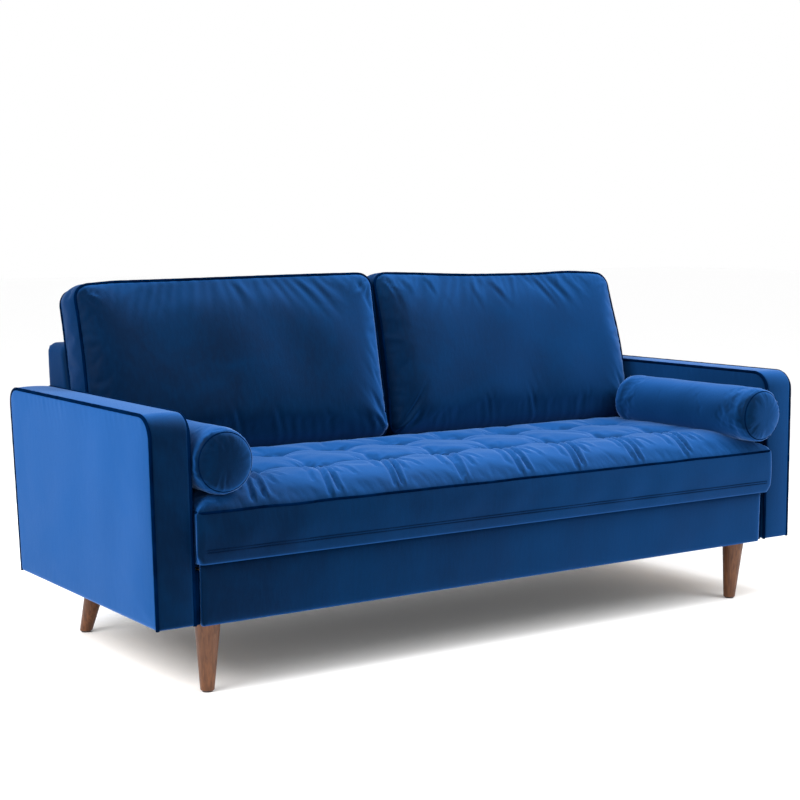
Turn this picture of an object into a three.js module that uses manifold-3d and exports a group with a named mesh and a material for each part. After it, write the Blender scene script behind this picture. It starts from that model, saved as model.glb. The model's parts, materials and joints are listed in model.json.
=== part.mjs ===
// A three-seat sofa on four tapered wooden legs, in millimetres. +Z is up, the front faces -Y, and +X is to
// the right seen from the front. The origin is on the floor, at the middle of the sofa's footprint.
//
// It comes apart as the real one does: two upholstered arms and an upholstered back bolt to a timber seat
// base. A tufted bench cushion lifts off the base, and two back cushions and two bolsters lift off the bench.
//
// Inside this file, y is measured from the front of the arms at their foot, and the finished sofa is moved
// so that the origin is in the middle.
import * as THREE from 'three';
import { mergeVertices } from 'three/addons/utils/BufferGeometryUtils.js';
import Module from 'manifold-3d';

const wasm = await Module();
wasm.setup();

// ---------------------------------------------------------------- driving dimensions
const GAP = 0.3; // between two faces that touch

// overall
const SOFA_WIDTH = 1970;
const BASE_UNDERSIDE = 167; // floor to the underside of the front rail
const DECK_HEIGHT = 309; // floor to the deck that the bench cushion lies on
const ARM_HEIGHT = 640;
const BACK_HEIGHT = 746; // top of the upholstered back, below the tops of its cushions

// arms
const ARM_THICKNESS = 99;
const ARM_DEPTH_AT_FOOT = 787;
const ARM_UNDERSIDE = 173;
const ARM_FRONT_SETBACK = 12; // the front edge leans back by this much, foot to top
const ARM_REAR_LEAN = 28; // the rear edge leans back by this much, foot to top
const ARM_FRONT_RADIUS = 48;
const ARM_REAR_RADIUS = 38;
const ARM_HEEL_RADIUS = 10;
const ARM_TIMBER = 45; // width of the arm's posts and rails

// upholstered skins are velvet on foam, bonded
const SKIN = 16;

// back
const BACK_FACE_AT_DECK = 612; // y of the back's front face, at deck height
const BACK_LEAN = THREE.MathUtils.degToRad(11.5);
const BACK_REAR_LEAN = 0.03; // slope of the rear face, mm of y for each mm of height
const BACK_EDGE_RADIUS = 22;
const BACK_SIDE_CLEARANCE = 2; // to each arm
const BACK_TIMBER = 28;
const BACK_TOP_RAIL_HEIGHT = 30;

// seat base
const RAIL_END_GAP = 14; // open slot between the front rail's end and the arm
const RAIL_FACE_SETBACK = 4; // front rail's velvet face, behind the front of the arms
const RAIL_THICKNESS = 28;
const RAIL_TOP_ROLL_DEPTH = 86; // how far the front velvet reaches back over the rail
const RAIL_HEM = 6; // how far it turns under the rail's foot
const RAIL_EDGE_RADIUS = 12;
const END_RAIL_THICKNESS = 44;
const CENTRE_RAIL_HEIGHT = 90;
const DECK_THICKNESS = 11;
const WEBBING_THICKNESS = 2;
const WEBBING_WIDTH = 70;
const WEBBING_COUNT = 6;
const WEBBING_SIDE_INSET = 147; // from the front rail's end to the middle of the outermost strap
const WEBBING_END_INSET = 2;
const DUST_COVER_THICKNESS = 1.2;
const CORNER_BLOCK = 84; // plan size of each corner block
const CORNER_BLOCK_HEIGHT = 60;

// legs: a turned taper with a level top and foot, screwed up into a steel plate and a corner block
const LEG_TOP_RADIUS = 30;
const LEG_FOOT_RADIUS = 16;
const LEG_FOOT_CHAMFER = 2;
const GLIDE_RADIUS = 12;
const GLIDE_THICKNESS = 3;
const PLATE_SIZE = 62;
const PLATE_THICKNESS = 2.7;
const PLATE_CORNER_RADIUS = 8;
const BOLT_RADIUS = 4;
const BOLT_CLEARANCE = 0.6;
const BOLT_IN_LEG = 40;
const BOLT_IN_BLOCK = 32;
// each leg's top sits in a corner of the base, this far from the end rail and from the front or rear rail;
// its foot is splayed outwards and backwards from there
const FRONT_LEG = { fromEndRail: 11.7, fromRail: 15, splayOut: 0, splayBack: 7 };
const REAR_LEG = { fromEndRail: 28.7, fromRail: 55.7, splayOut: 20, splayBack: 51 };

// bench cushion
const BENCH_OVERHANG = 15; // in front of the arms' foot
const BENCH_SIDE_CLEARANCE = 4; // to each arm
const BENCH_BOXING = 116; // height of its upright sides
const BENCH_CROWN = 48; // rise of the top above its welt
const BENCH_CORNER_RADIUS = 25;

// back cushions
const BACK_CUSHION_HEIGHT = 440;
const BACK_CUSHION_BOXING = 92; // width of its gusset
const BACK_CUSHION_CROWN = 42;
const BACK_CUSHION_CORNER_RADIUS = 45;
const BACK_CUSHION_MIDDLE_GAP = 6; // between the two
const BACK_CUSHION_LEFT_CLEARANCE = 3; // from the pair's left side to the left arm's inner face
const BACK_CUSHION_RIGHT_CLEARANCE = 18; // and on the right

// bolsters
const BOLSTER_RADIUS = 73;
const BOLSTER_END_RADIUS = 62; // radius of the gathered end disc
const BOLSTER_LENGTH = 515; // seam to seam
const BOLSTER_END_BULGE = 12;
const BOLSTER_ARM_CLEARANCE = 1;
const LEFT_BOLSTER_FRONT = -3; // y of each bolster's front seam
const RIGHT_BOLSTER_FRONT = -42;

// ---------------------------------------------------------------- dependent sizes
const ARM_INNER_X = SOFA_WIDTH / 2 - ARM_THICKNESS;
const BACK_HALF_WIDTH = ARM_INNER_X - BACK_SIDE_CLEARANCE;
const RAIL_HALF_WIDTH = ARM_INNER_X - RAIL_END_GAP;
const REAR_FACE_AT_FOOT = ARM_DEPTH_AT_FOOT - 1; // the rear skin stays just inside the arms
const TIMBER_FOOT = BASE_UNDERSIDE + 5; // underside of the rails
const TIMBER_TOP = DECK_HEIGHT - DECK_THICKNESS - WEBBING_THICKNESS - 1; // top of the rails
const FRONT_RAIL_FACE = RAIL_FACE_SETBACK + SKIN;
const FRONT_RAIL_BACK = FRONT_RAIL_FACE + RAIL_THICKNESS;
const REAR_RAIL_BACK = REAR_FACE_AT_FOOT - SKIN - GAP;
const REAR_RAIL_FACE = REAR_RAIL_BACK - RAIL_THICKNESS;
const END_RAIL_INNER_X = ARM_INNER_X - GAP - END_RAIL_THICKNESS;
const PLATE_BOTTOM = BASE_UNDERSIDE + 0.5;
const LEG_TOP = PLATE_BOTTOM - GAP;
const LEG_BOTTOM = GLIDE_THICKNESS + GAP;

const armShare = (z) => (z - ARM_UNDERSIDE) / (ARM_HEIGHT - ARM_UNDERSIDE);
const armFront = (z) => ARM_FRONT_SETBACK * armShare(z);
const armRear = (z) => ARM_DEPTH_AT_FOOT + ARM_REAR_LEAN * armShare(z);
const backFace = (z) => BACK_FACE_AT_DECK + (z - DECK_HEIGHT) * Math.tan(BACK_LEAN);
const backRear = (z) => REAR_FACE_AT_FOOT + (z - BASE_UNDERSIDE) * BACK_REAR_LEAN;

// ---------------------------------------------------------------- materials
const finish = (color, roughness, metalness = 0) =>
  new THREE.MeshStandardMaterial({ color, roughness, metalness });
const VELVET = () => finish(0x1c4a8c, 0.85);
const STAINED_WOOD = () => finish(0x7d553c, 0.45);
const PINE = () => finish(0xcaa878, 0.8);
const FOAM = () => finish(0xe8e2cf, 0.95);
const BLACK_CLOTH = () => finish(0x18191c, 0.95);
const WEBBING = () => finish(0x6b5a3e, 0.9);
const STEEL = () => finish(0x9a9c9f, 0.4, 1);
const NYLON = () => finish(0x222222, 0.6);

// ---------------------------------------------------------------- shape helpers
const sofa = new THREE.Group();

function add(name, geometry, material, parent = sofa) {
  const mesh = new THREE.Mesh(geometry, material);
  mesh.name = name;
  parent.add(mesh);
  return mesh;
}

// An outline through [u, v, radius] corners; a corner with a radius is rounded by an arc.
function outline(corners) {
  const shape = new THREE.Shape();
  corners.forEach(([u, v, radius = 0], i) => {
    const here = new THREE.Vector2(u, v);
    const toLast = new THREE.Vector2(...corners.at(i - 1).slice(0, 2)).sub(here).normalize();
    const toNext = new THREE.Vector2(...corners[(i + 1) % corners.length].slice(0, 2)).sub(here).normalize();
    const halfAngle = Math.acos(toLast.dot(toNext)) / 2;
    const start = here.clone().addScaledVector(toLast, radius / Math.tan(halfAngle));
    if (i === 0) shape.moveTo(start.x, start.y);
    else shape.lineTo(start.x, start.y);
    if (radius === 0) return;
    const end = here.clone().addScaledVector(toNext, radius / Math.tan(halfAngle));
    const centre = here.clone().addScaledVector(toLast.add(toNext).normalize(), radius / Math.sin(halfAngle));
    const clockwise = start.clone().sub(here).cross(end.clone().sub(here)) > 0;
    shape.absarc(centre.x, centre.y, radius, start.sub(centre).angle(), end.sub(centre).angle(), clockwise);
  });
  return shape;
}

// A side outline of [y, z, radius] corners carried across the sofa from x0 to x1.
function sideSlab(corners, x0, x1, curveSegments = 6) {
  const options = { depth: x1 - x0, bevelEnabled: false, steps: 1, curveSegments };
  const slab = new THREE.ExtrudeGeometry(outline(corners), options);
  const yzx = new THREE.Matrix4().makeBasis(
    new THREE.Vector3(0, 1, 0), new THREE.Vector3(0, 0, 1), new THREE.Vector3(1, 0, 0));
  return slab.applyMatrix4(yzx).translate(x0, 0, 0);
}

// A plan outline of [x, y, radius] corners, with round holes of [x, y, radius], from z0 to z1.
function planSlab(corners, z0, z1, holes = []) {
  const shape = outline(corners);
  for (const [x, y, radius] of holes) shape.holes.push(new THREE.Path().absarc(x, y, radius, 0, 2 * Math.PI));
  const options = { depth: z1 - z0, bevelEnabled: false, steps: 1, curveSegments: 8 };
  return new THREE.ExtrudeGeometry(shape, options).translate(0, 0, z0);
}

function box([x0, x1], [y0, y1], [z0, z1]) {
  const geometry = new THREE.BoxGeometry(x1 - x0, y1 - y0, z1 - z0);
  return geometry.translate((x0 + x1) / 2, (y0 + y1) / 2, (z0 + z1) / 2);
}

const rectangle = (x0, x1, y0, y1, radius = 0) =>
  [[x0, y0, radius], [x1, y0, radius], [x1, y1, radius], [x0, y1, radius]];

function toManifold(geometry) {
  const bare = new THREE.BufferGeometry();
  bare.setAttribute('position', geometry.getAttribute('position'));
  if (geometry.index) bare.setIndex(geometry.index);
  const merged = mergeVertices(bare, 1e-4);
  return new wasm.Manifold(new wasm.Mesh({
    numProp: 3,
    vertProperties: new Float32Array(merged.getAttribute('position').array),
    triVerts: new Uint32Array(merged.index.array),
  }));
}

function cut(geometry, ...tools) {
  const solid = tools.reduce((left, tool) => left.subtract(toManifold(tool)), toManifold(geometry));
  const { vertProperties, triVerts } = solid.getMesh();
  const result = new THREE.BufferGeometry();
  result.setAttribute('position', new THREE.BufferAttribute(vertProperties, 3));
  result.setIndex(new THREE.BufferAttribute(triVerts, 1));
  return result;
}

// A solid of revolution about a line that leans from (x, y) at z0 to the top at z1 and stays level at both
// ends. The profile is [radius, z] points from the axis at the bottom, round the outside, back to the axis.
function leaningTurning(profile, foot, top, z0, z1) {
  const points = profile.map(([radius, z]) => new THREE.Vector2(radius, z));
  const turned = new THREE.LatheGeometry(points, 24).rotateX(Math.PI / 2);
  const slopeX = (top[0] - foot[0]) / (z1 - z0);
  const slopeY = (top[1] - foot[1]) / (z1 - z0);
  const lean = new THREE.Matrix4().set(
    1, 0, slopeX, foot[0] - slopeX * z0,
    0, 1, slopeY, foot[1] - slopeY * z0,
    0, 0, 1, 0,
    0, 0, 0, 1);
  return turned.applyMatrix4(lean);
}

// ---------------------------------------------------------------- cushions
// How high a crown stands at a fraction t of the way from its middle to its welt, flat and then steep.
const crown = (t, rise, squareness) => rise * Math.sqrt(1 - Math.min(t, 1) ** squareness);

// A closed cushion: a rounded rectangle seen from above, with upright sides up to `boxing` and a crowned top.
function cushion({ width, depth, boxing, rise, squareness, corner }) {
  const halves = rectangle(-width / 2, width / 2, -depth / 2, depth / 2, corner);
  const rim = outline(halves).getSpacedPoints(44).slice(0, -1);
  const steps = [1, 0.985, 0.94, 0.86, 0.72, 0.5, 0.25];
  const points = [];
  for (const t of steps) {
    for (const p of rim) points.push(p.x * t, p.y * t, boxing + crown(t, rise, squareness));
  }
  for (const p of rim) points.push(p.x, p.y, 0);
  const count = rim.length;
  const foot = steps.length * count;
  const topCentre = foot + count;
  const footCentre = topCentre + 1;
  points.push(0, 0, boxing + rise, 0, 0, 0);
  const faces = [];
  for (let i = 0; i < count; i++) {
    const j = (i + 1) % count;
    for (let ring = 0; ring < steps.length - 1; ring++) {
      const [a, b] = [ring * count + i, ring * count + j];
      faces.push(a, b, b + count, a, b + count, a + count);
    }
    const last = (steps.length - 1) * count;
    faces.push(last + i, last + j, topCentre);
    faces.push(foot + i, foot + j, j, foot + i, j, i);
    faces.push(foot + j, foot + i, footCentre);
  }
  const geometry = new THREE.BufferGeometry();
  geometry.setAttribute('position', new THREE.Float32BufferAttribute(points, 3));
  return geometry.setIndex(faces);
}

const bench = {
  width: 2 * (ARM_INNER_X - BENCH_SIDE_CLEARANCE),
  depth: BACK_FACE_AT_DECK - 1 + BENCH_OVERHANG,
  boxing: BENCH_BOXING,
  rise: BENCH_CROWN,
  squareness: 6,
  corner: BENCH_CORNER_RADIUS,
};
const BENCH_BOTTOM = DECK_HEIGHT + GAP;
const BENCH_CENTRE_Y = bench.depth / 2 - BENCH_OVERHANG;

// Height of the bench cushion's top at a point; it never lies below the solid there.
function benchTop(x, y) {
  const t = Math.max(Math.abs(x) / (bench.width / 2), Math.abs(y - BENCH_CENTRE_Y) / (bench.depth / 2));
  return BENCH_BOTTOM + bench.boxing + crown(t, bench.rise, bench.squareness);
}

// Height of the axis of a bolster that rests on the bench cushion.
function bolsterRest(centreX) {
  let height = 0;
  for (let across = -1; across <= 1; across += 0.05) {
    const dx = across * BOLSTER_RADIUS;
    const drop = Math.sqrt(Math.max(0, BOLSTER_RADIUS ** 2 - dx ** 2));
    height = Math.max(height, benchTop(centreX + dx, BENCH_CENTRE_Y) + drop);
  }
  return height + GAP;
}

// Height of a back cushion's lowest edge when its sloping underside rests on the bench cushion.
function backCushionRest() {
  const rearY = backFace(BENCH_BOTTOM + bench.boxing);
  let height = 0;
  for (let forward = 0; forward <= BACK_CUSHION_BOXING; forward += 2) {
    const y = rearY - forward * Math.cos(BACK_LEAN);
    height = Math.max(height, benchTop(0, y) - forward * Math.sin(BACK_LEAN));
  }
  return height + GAP;
}

function addCushions() {
  add('seat_cushion', cushion(bench).translate(0, BENCH_CENTRE_Y, BENCH_BOTTOM), VELVET());

  const bolsterX = ARM_INNER_X - BOLSTER_ARM_CLEARANCE - BOLSTER_RADIUS;
  const half = BOLSTER_LENGTH / 2;
  const profile = [
    [0, -half - BOLSTER_END_BULGE], [BOLSTER_END_RADIUS * 0.6, -half - BOLSTER_END_BULGE * 0.8],
    [BOLSTER_END_RADIUS, -half], [BOLSTER_RADIUS, -half + 18], [BOLSTER_RADIUS, half - 18],
    [BOLSTER_END_RADIUS, half], [BOLSTER_END_RADIUS * 0.6, half + BOLSTER_END_BULGE * 0.8],
    [0, half + BOLSTER_END_BULGE]];
  const roll = () => new THREE.LatheGeometry(profile.map(([r, along]) => new THREE.Vector2(r, along)), 32);
  const z = bolsterRest(bolsterX);
  add('bolster_left', roll().translate(-bolsterX, LEFT_BOLSTER_FRONT + half, z), VELVET());
  add('bolster_right', roll().translate(bolsterX, RIGHT_BOLSTER_FRONT + half, z), VELVET());

  const leftX = -ARM_INNER_X + BACK_CUSHION_LEFT_CLEARANCE;
  const rightX = ARM_INNER_X - BACK_CUSHION_RIGHT_CLEARANCE;
  const width = (rightX - leftX - BACK_CUSHION_MIDDLE_GAP) / 2;
  const pad = {
    width, depth: BACK_CUSHION_HEIGHT, boxing: BACK_CUSHION_BOXING,
    rise: BACK_CUSHION_CROWN, squareness: 3, corner: BACK_CUSHION_CORNER_RADIUS,
  };
  const lowest = backCushionRest();
  const places = [['back_cushion_left', leftX + width / 2], ['back_cushion_right', rightX - width / 2]];
  for (const [name, x] of places) {
    // laid flat with its lower edge at y = 0 and its crown up, then stood up and leant on the back
    const geometry = cushion(pad).translate(0, BACK_CUSHION_HEIGHT / 2, 0).rotateX(Math.PI / 2 - BACK_LEAN);
    add(name, geometry.translate(x, backFace(lowest) - GAP / Math.cos(BACK_LEAN), lowest), VELVET());
  }
}

// ---------------------------------------------------------------- seat base
function addSeatBase() {
  const rails = [TIMBER_FOOT, TIMBER_TOP];
  const span = [FRONT_RAIL_BACK + GAP, REAR_RAIL_FACE - GAP];
  const rearX = END_RAIL_INNER_X + END_RAIL_THICKNESS;
  const frontX = [-RAIL_HALF_WIDTH, RAIL_HALF_WIDTH];
  add('front_rail', box(frontX, [FRONT_RAIL_FACE, FRONT_RAIL_BACK], rails), PINE());
  add('rear_rail', box([-rearX, rearX], [REAR_RAIL_FACE, REAR_RAIL_BACK], rails), PINE());
  add('end_rail_left', box([-rearX, -END_RAIL_INNER_X], span, rails), PINE());
  add('end_rail_right', box([END_RAIL_INNER_X, rearX], span, rails), PINE());
  const centreHalf = RAIL_THICKNESS / 2;
  const centreZ = [TIMBER_FOOT, TIMBER_FOOT + CENTRE_RAIL_HEIGHT];
  add('centre_rail', box([-centreHalf, centreHalf], span, centreZ), PINE());

  const outermost = RAIL_HALF_WIDTH - WEBBING_SIDE_INSET;
  for (let i = 0; i < WEBBING_COUNT; i++) {
    const x = outermost * ((2 * i) / (WEBBING_COUNT - 1) - 1);
    const strap = box([x - WEBBING_WIDTH / 2, x + WEBBING_WIDTH / 2],
      [FRONT_RAIL_FACE + WEBBING_END_INSET, REAR_RAIL_BACK - WEBBING_END_INSET],
      [TIMBER_TOP + GAP, TIMBER_TOP + GAP + WEBBING_THICKNESS]);
    add(`webbing_strap_${i + 1}`, strap, WEBBING());
  }

  // velvet over foam, rolled over the front rail's top and turned under its foot
  const lip = DECK_HEIGHT - DECK_THICKNESS;
  const inside = FRONT_RAIL_FACE - GAP;
  const cover = [
    [RAIL_FACE_SETBACK, BASE_UNDERSIDE, 4], [inside + RAIL_HEM, BASE_UNDERSIDE],
    [inside + RAIL_HEM, TIMBER_FOOT - GAP], [inside, TIMBER_FOOT - GAP], [inside, lip],
    [RAIL_FACE_SETBACK + RAIL_TOP_ROLL_DEPTH, lip], [RAIL_FACE_SETBACK + RAIL_TOP_ROLL_DEPTH, DECK_HEIGHT],
    [RAIL_FACE_SETBACK, DECK_HEIGHT, RAIL_EDGE_RADIUS]];
  add('front_rail_cover', sideSlab(cover, -RAIL_HALF_WIDTH, RAIL_HALF_WIDTH), VELVET());

  const deckY = [RAIL_FACE_SETBACK + RAIL_TOP_ROLL_DEPTH + GAP, BACK_FACE_AT_DECK - 1];
  add('seat_deck', box([-RAIL_HALF_WIDTH, RAIL_HALF_WIDTH], deckY, [lip, DECK_HEIGHT]), BLACK_CLOTH());
}

function addDustCover() {
  const front = FRONT_RAIL_FACE + RAIL_HEM + 2;
  const outline2d = rectangle(-RAIL_HALF_WIDTH, RAIL_HALF_WIDTH, front, REAR_RAIL_BACK);
  const holes = legPlan().map(({ top }) => [...top, 3 * BOLT_RADIUS]);
  const top = TIMBER_FOOT - GAP;
  add('dust_cover', planSlab(outline2d, top - DUST_COVER_THICKNESS, top, holes), BLACK_CLOTH());
}

// ---------------------------------------------------------------- legs
// Where each leg's top and foot are in plan.
function legPlan() {
  const frontY = FRONT_RAIL_BACK + FRONT_LEG.fromRail;
  const rearY = REAR_RAIL_FACE - REAR_LEG.fromRail;
  const rows = [['front', FRONT_LEG, frontY], ['rear', REAR_LEG, rearY]];
  return rows.flatMap(([row, leg, y]) => [['left', -1], ['right', 1]].map(([hand, side]) => {
    const x = END_RAIL_INNER_X - leg.fromEndRail;
    const foot = [side * (x + leg.splayOut), y + leg.splayBack];
    return { place: `${row}_${hand}`, side, top: [side * x, y], foot };
  }));
}

// The bolt leans with its leg; this is the same turning with the bolt's radius, wider by a clearance.
function boltTurning(foot, top, clearance) {
  const radius = BOLT_RADIUS + clearance;
  const [z0, z1] = [LEG_TOP - BOLT_IN_LEG - clearance, TIMBER_FOOT + BOLT_IN_BLOCK + clearance];
  return leaningTurning([[0, z0], [radius, z0], [radius, z1], [0, z1]], foot, top, LEG_BOTTOM, LEG_TOP);
}

function addLeg({ place, side, top, foot }, blockY) {
  const bore = BOLT_RADIUS + BOLT_CLEARANCE;
  const boreEnd = LEG_TOP - BOLT_IN_LEG - BOLT_CLEARANCE;
  const profile = [
    [0, LEG_BOTTOM], [LEG_FOOT_RADIUS - LEG_FOOT_CHAMFER, LEG_BOTTOM],
    [LEG_FOOT_RADIUS, LEG_BOTTOM + LEG_FOOT_CHAMFER], [LEG_TOP_RADIUS, LEG_TOP],
    [bore, LEG_TOP], [bore, boreEnd], [0, boreEnd]];
  add(`leg_${place}`, leaningTurning(profile, foot, top, LEG_BOTTOM, LEG_TOP), STAINED_WOOD());

  const glide = new THREE.CylinderGeometry(GLIDE_RADIUS, GLIDE_RADIUS, GLIDE_THICKNESS, 24);
  glide.rotateX(Math.PI / 2).translate(foot[0], foot[1], GLIDE_THICKNESS / 2);
  add(`glide_${place}`, glide, NYLON());

  add(`leg_bolt_${place}`, boltTurning(foot, top, 0), STEEL());

  const half = PLATE_SIZE / 2;
  const square = rectangle(top[0] - half, top[0] + half, top[1] - half, top[1] + half, PLATE_CORNER_RADIUS);
  const plate = planSlab(square, PLATE_BOTTOM, PLATE_BOTTOM + PLATE_THICKNESS);
  const hole = boltTurning(foot, top, BOLT_CLEARANCE);
  add(`leg_plate_${place}`, cut(plate, hole), STEEL());

  const blockX = side < 0 ? [-END_RAIL_INNER_X + GAP, -END_RAIL_INNER_X + GAP + CORNER_BLOCK]
    : [END_RAIL_INNER_X - GAP - CORNER_BLOCK, END_RAIL_INNER_X - GAP];
  const block = box(blockX, blockY, [TIMBER_FOOT, TIMBER_FOOT + CORNER_BLOCK_HEIGHT]);
  add(`corner_block_${place}`, cut(block, hole), PINE());
}

function addLegs() {
  const frontBlock = [FRONT_RAIL_BACK + GAP, FRONT_RAIL_BACK + GAP + CORNER_BLOCK];
  const rearBlock = [REAR_RAIL_FACE - GAP - CORNER_BLOCK, REAR_RAIL_FACE - GAP];
  for (const leg of legPlan()) addLeg(leg, leg.place.startsWith('front') ? frontBlock : rearBlock);
}

// ---------------------------------------------------------------- back
function addBack() {
  const bottom = DECK_HEIGHT + GAP;
  const skinRoof = BACK_HEIGHT - SKIN;
  const outside = [
    [backFace(bottom), bottom], [REAR_RAIL_BACK + GAP, bottom], [REAR_RAIL_BACK + GAP, BASE_UNDERSIDE],
    [backRear(BASE_UNDERSIDE), BASE_UNDERSIDE, 4], [backRear(BACK_HEIGHT), BACK_HEIGHT, BACK_EDGE_RADIUS],
    [backFace(BACK_HEIGHT), BACK_HEIGHT, BACK_EDGE_RADIUS]];
  const face = (z) => backFace(z) + SKIN;
  const rear = (z) => backRear(z) - SKIN;
  const hollowFoot = TIMBER_TOP;
  const inside = [
    [face(hollowFoot), hollowFoot], [rear(hollowFoot), hollowFoot],
    [rear(skinRoof), skinRoof], [face(skinRoof), skinRoof]];
  const shell = sideSlab(outside, -BACK_HALF_WIDTH, BACK_HALF_WIDTH);
  const insideHalf = BACK_HALF_WIDTH - SKIN;
  add('back_cover', cut(shell, sideSlab(inside, -insideHalf, insideHalf)), VELVET());

  const frameHalf = insideHalf - GAP;
  const railTop = skinRoof - GAP;
  const railFoot = railTop - BACK_TOP_RAIL_HEIGHT;
  const slice = (z0, z1) => [
    [face(z0) + GAP, z0], [rear(z0) - GAP, z0], [rear(z1) - GAP, z1], [face(z1) + GAP, z1]];
  add('back_top_rail', sideSlab(slice(railFoot, railTop), -frameHalf, frameHalf), PINE());

  const post = slice(TIMBER_TOP + GAP, railFoot - GAP);
  const foam = slice(DECK_HEIGHT - DECK_THICKNESS, railFoot - GAP);
  const half = BACK_TIMBER / 2;
  const postX = frameHalf - BACK_TIMBER;
  add('back_post_left', sideSlab(post, -frameHalf, -postX), PINE());
  add('back_post_centre', sideSlab(post, -half, half), PINE());
  add('back_post_right', sideSlab(post, postX, frameHalf), PINE());
  add('back_foam_left', sideSlab(foam, -postX + GAP, -half - GAP), FOAM());
  add('back_foam_right', sideSlab(foam, half + GAP, postX - GAP), FOAM());
}

// ---------------------------------------------------------------- arms
function addArm(place, x0) {
  const x1 = x0 + ARM_THICKNESS;
  const roof = ARM_HEIGHT - SKIN;
  const outside = [
    [armFront(ARM_UNDERSIDE), ARM_UNDERSIDE], [armRear(ARM_UNDERSIDE), ARM_UNDERSIDE, ARM_HEEL_RADIUS],
    [armRear(ARM_HEIGHT), ARM_HEIGHT, ARM_REAR_RADIUS], [armFront(ARM_HEIGHT), ARM_HEIGHT, ARM_FRONT_RADIUS]];
  const front = (z) => armFront(z) + SKIN;
  const rear = (z) => armRear(z) - SKIN;
  const below = ARM_UNDERSIDE - 1;
  // the cavity's upper corners are cut back, to keep the skin's thickness at the rounded corners
  const [frontCut, rearCut] = [ARM_FRONT_RADIUS / 2, ARM_REAR_RADIUS / 2];
  const inside = [
    [front(below), below], [rear(below), below], [rear(roof - rearCut), roof - rearCut],
    [rear(roof) - rearCut, roof], [front(roof) + frontCut, roof], [front(roof - frontCut), roof - frontCut]];
  const shell = sideSlab(outside, x0, x1, 8);
  add(`arm_cover_${place}`, cut(shell, sideSlab(inside, x0 + SKIN, x1 - SKIN)), VELVET());

  const [t0, t1] = [x0 + SKIN + GAP, x1 - SKIN - GAP];
  const railTop = roof - GAP;
  const railFoot = railTop - ARM_TIMBER;
  const postTop = railFoot - GAP;
  const slab = (corners) => sideSlab(corners, t0, t1);
  const frontEdge = (z) => front(z) + GAP;
  const rearEdge = (z) => rear(z) - GAP;
  const topRail = [
    [frontEdge(railFoot), railFoot], [rearEdge(railFoot), railFoot],
    [rearEdge(railTop - rearCut), railTop - rearCut], [rearEdge(railTop) - rearCut, railTop],
    [frontEdge(railTop) + frontCut, railTop], [frontEdge(railTop - frontCut), railTop - frontCut]];
  add(`arm_top_rail_${place}`, slab(topRail), PINE());

  const foot = ARM_UNDERSIDE;
  const stile = (edge, width) => [
    [edge(foot), foot], [edge(foot) + width, foot],
    [edge(postTop) + width, postTop], [edge(postTop), postTop]];
  add(`arm_front_post_${place}`, slab(stile(frontEdge, ARM_TIMBER)), PINE());
  add(`arm_rear_post_${place}`, slab(stile((z) => rearEdge(z) - ARM_TIMBER, ARM_TIMBER)), PINE());

  const between = (z0, z1) => {
    const [a, b] = [(z) => frontEdge(z) + ARM_TIMBER + GAP, (z) => rearEdge(z) - ARM_TIMBER - GAP];
    return [[a(z0), z0], [b(z0), z0], [b(z1), z1], [a(z1), z1]];
  };
  const bottomRailTop = foot + ARM_TIMBER;
  add(`arm_bottom_rail_${place}`, slab(between(foot, bottomRailTop)), PINE());
  add(`arm_core_${place}`, slab(between(bottomRailTop + GAP, postTop)), FOAM());
}

// ---------------------------------------------------------------- assembly
addSeatBase();
addDustCover();
addLegs();
addBack();
addArm('left', -SOFA_WIDTH / 2);
addArm('right', ARM_INNER_X);
addCushions();

const footprint = new THREE.Box3().setFromObject(sofa);
sofa.position.y = -footprint.getCenter(new THREE.Vector3()).y;

export default sofa;
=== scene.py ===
"""Looks of a three-seat velvet sofa: tufted bench, loose back cushions, round bolsters and turned wooden legs.

Every soft piece is a surface worked out on a grid of parameters in metres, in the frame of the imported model.
The cushions are then blown up a little as cloth, with their seams held, and get their welts afterwards.
"""

import json
import logging
import math
from dataclasses import dataclass, replace
from enum import Enum
from typing import ClassVar

import bpy
import numpy as np
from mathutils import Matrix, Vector


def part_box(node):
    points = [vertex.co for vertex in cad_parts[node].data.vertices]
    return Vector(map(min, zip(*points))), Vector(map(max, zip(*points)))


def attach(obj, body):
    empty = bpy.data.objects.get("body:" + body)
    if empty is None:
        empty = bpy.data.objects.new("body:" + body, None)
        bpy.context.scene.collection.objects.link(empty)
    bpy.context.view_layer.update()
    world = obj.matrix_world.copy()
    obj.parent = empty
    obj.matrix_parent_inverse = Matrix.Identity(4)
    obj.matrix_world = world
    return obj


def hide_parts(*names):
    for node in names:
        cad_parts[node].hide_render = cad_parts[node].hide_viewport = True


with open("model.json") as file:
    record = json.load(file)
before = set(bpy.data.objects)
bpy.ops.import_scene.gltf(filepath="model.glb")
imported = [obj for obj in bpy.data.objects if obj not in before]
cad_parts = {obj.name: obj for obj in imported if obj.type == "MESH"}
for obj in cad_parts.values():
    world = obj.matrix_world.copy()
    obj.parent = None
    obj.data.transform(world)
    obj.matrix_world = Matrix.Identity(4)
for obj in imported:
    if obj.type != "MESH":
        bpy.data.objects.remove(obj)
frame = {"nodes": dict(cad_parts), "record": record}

LOG = logging.getLogger("sofa")

SEAM_STEP = 0.006  # spacing of the points along a seam, in metres
ON_END = 1 - 1e-9  # a lattice coordinate past this lies on the end of its axis
TINY = 1e-9  # keeps a division away from nought

Array = np.ndarray
Socket = bpy.types.NodeSocket


# ---------------------------------------------------------------- small helpers
def lower(node: str) -> Array:
    """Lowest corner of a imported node, in metres."""
    return np.array(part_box(node)[0])


def upper(node: str) -> Array:
    """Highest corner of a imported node, in metres."""
    return np.array(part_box(node)[1])


def smoothstep(low: float, high: float, value: Array) -> Array:
    """0 below low, 1 above high, and a smooth S between."""
    t = np.clip((value - low) / (high - low), 0.0, 1.0)
    return t * t * (3.0 - 2.0 * t)


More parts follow.
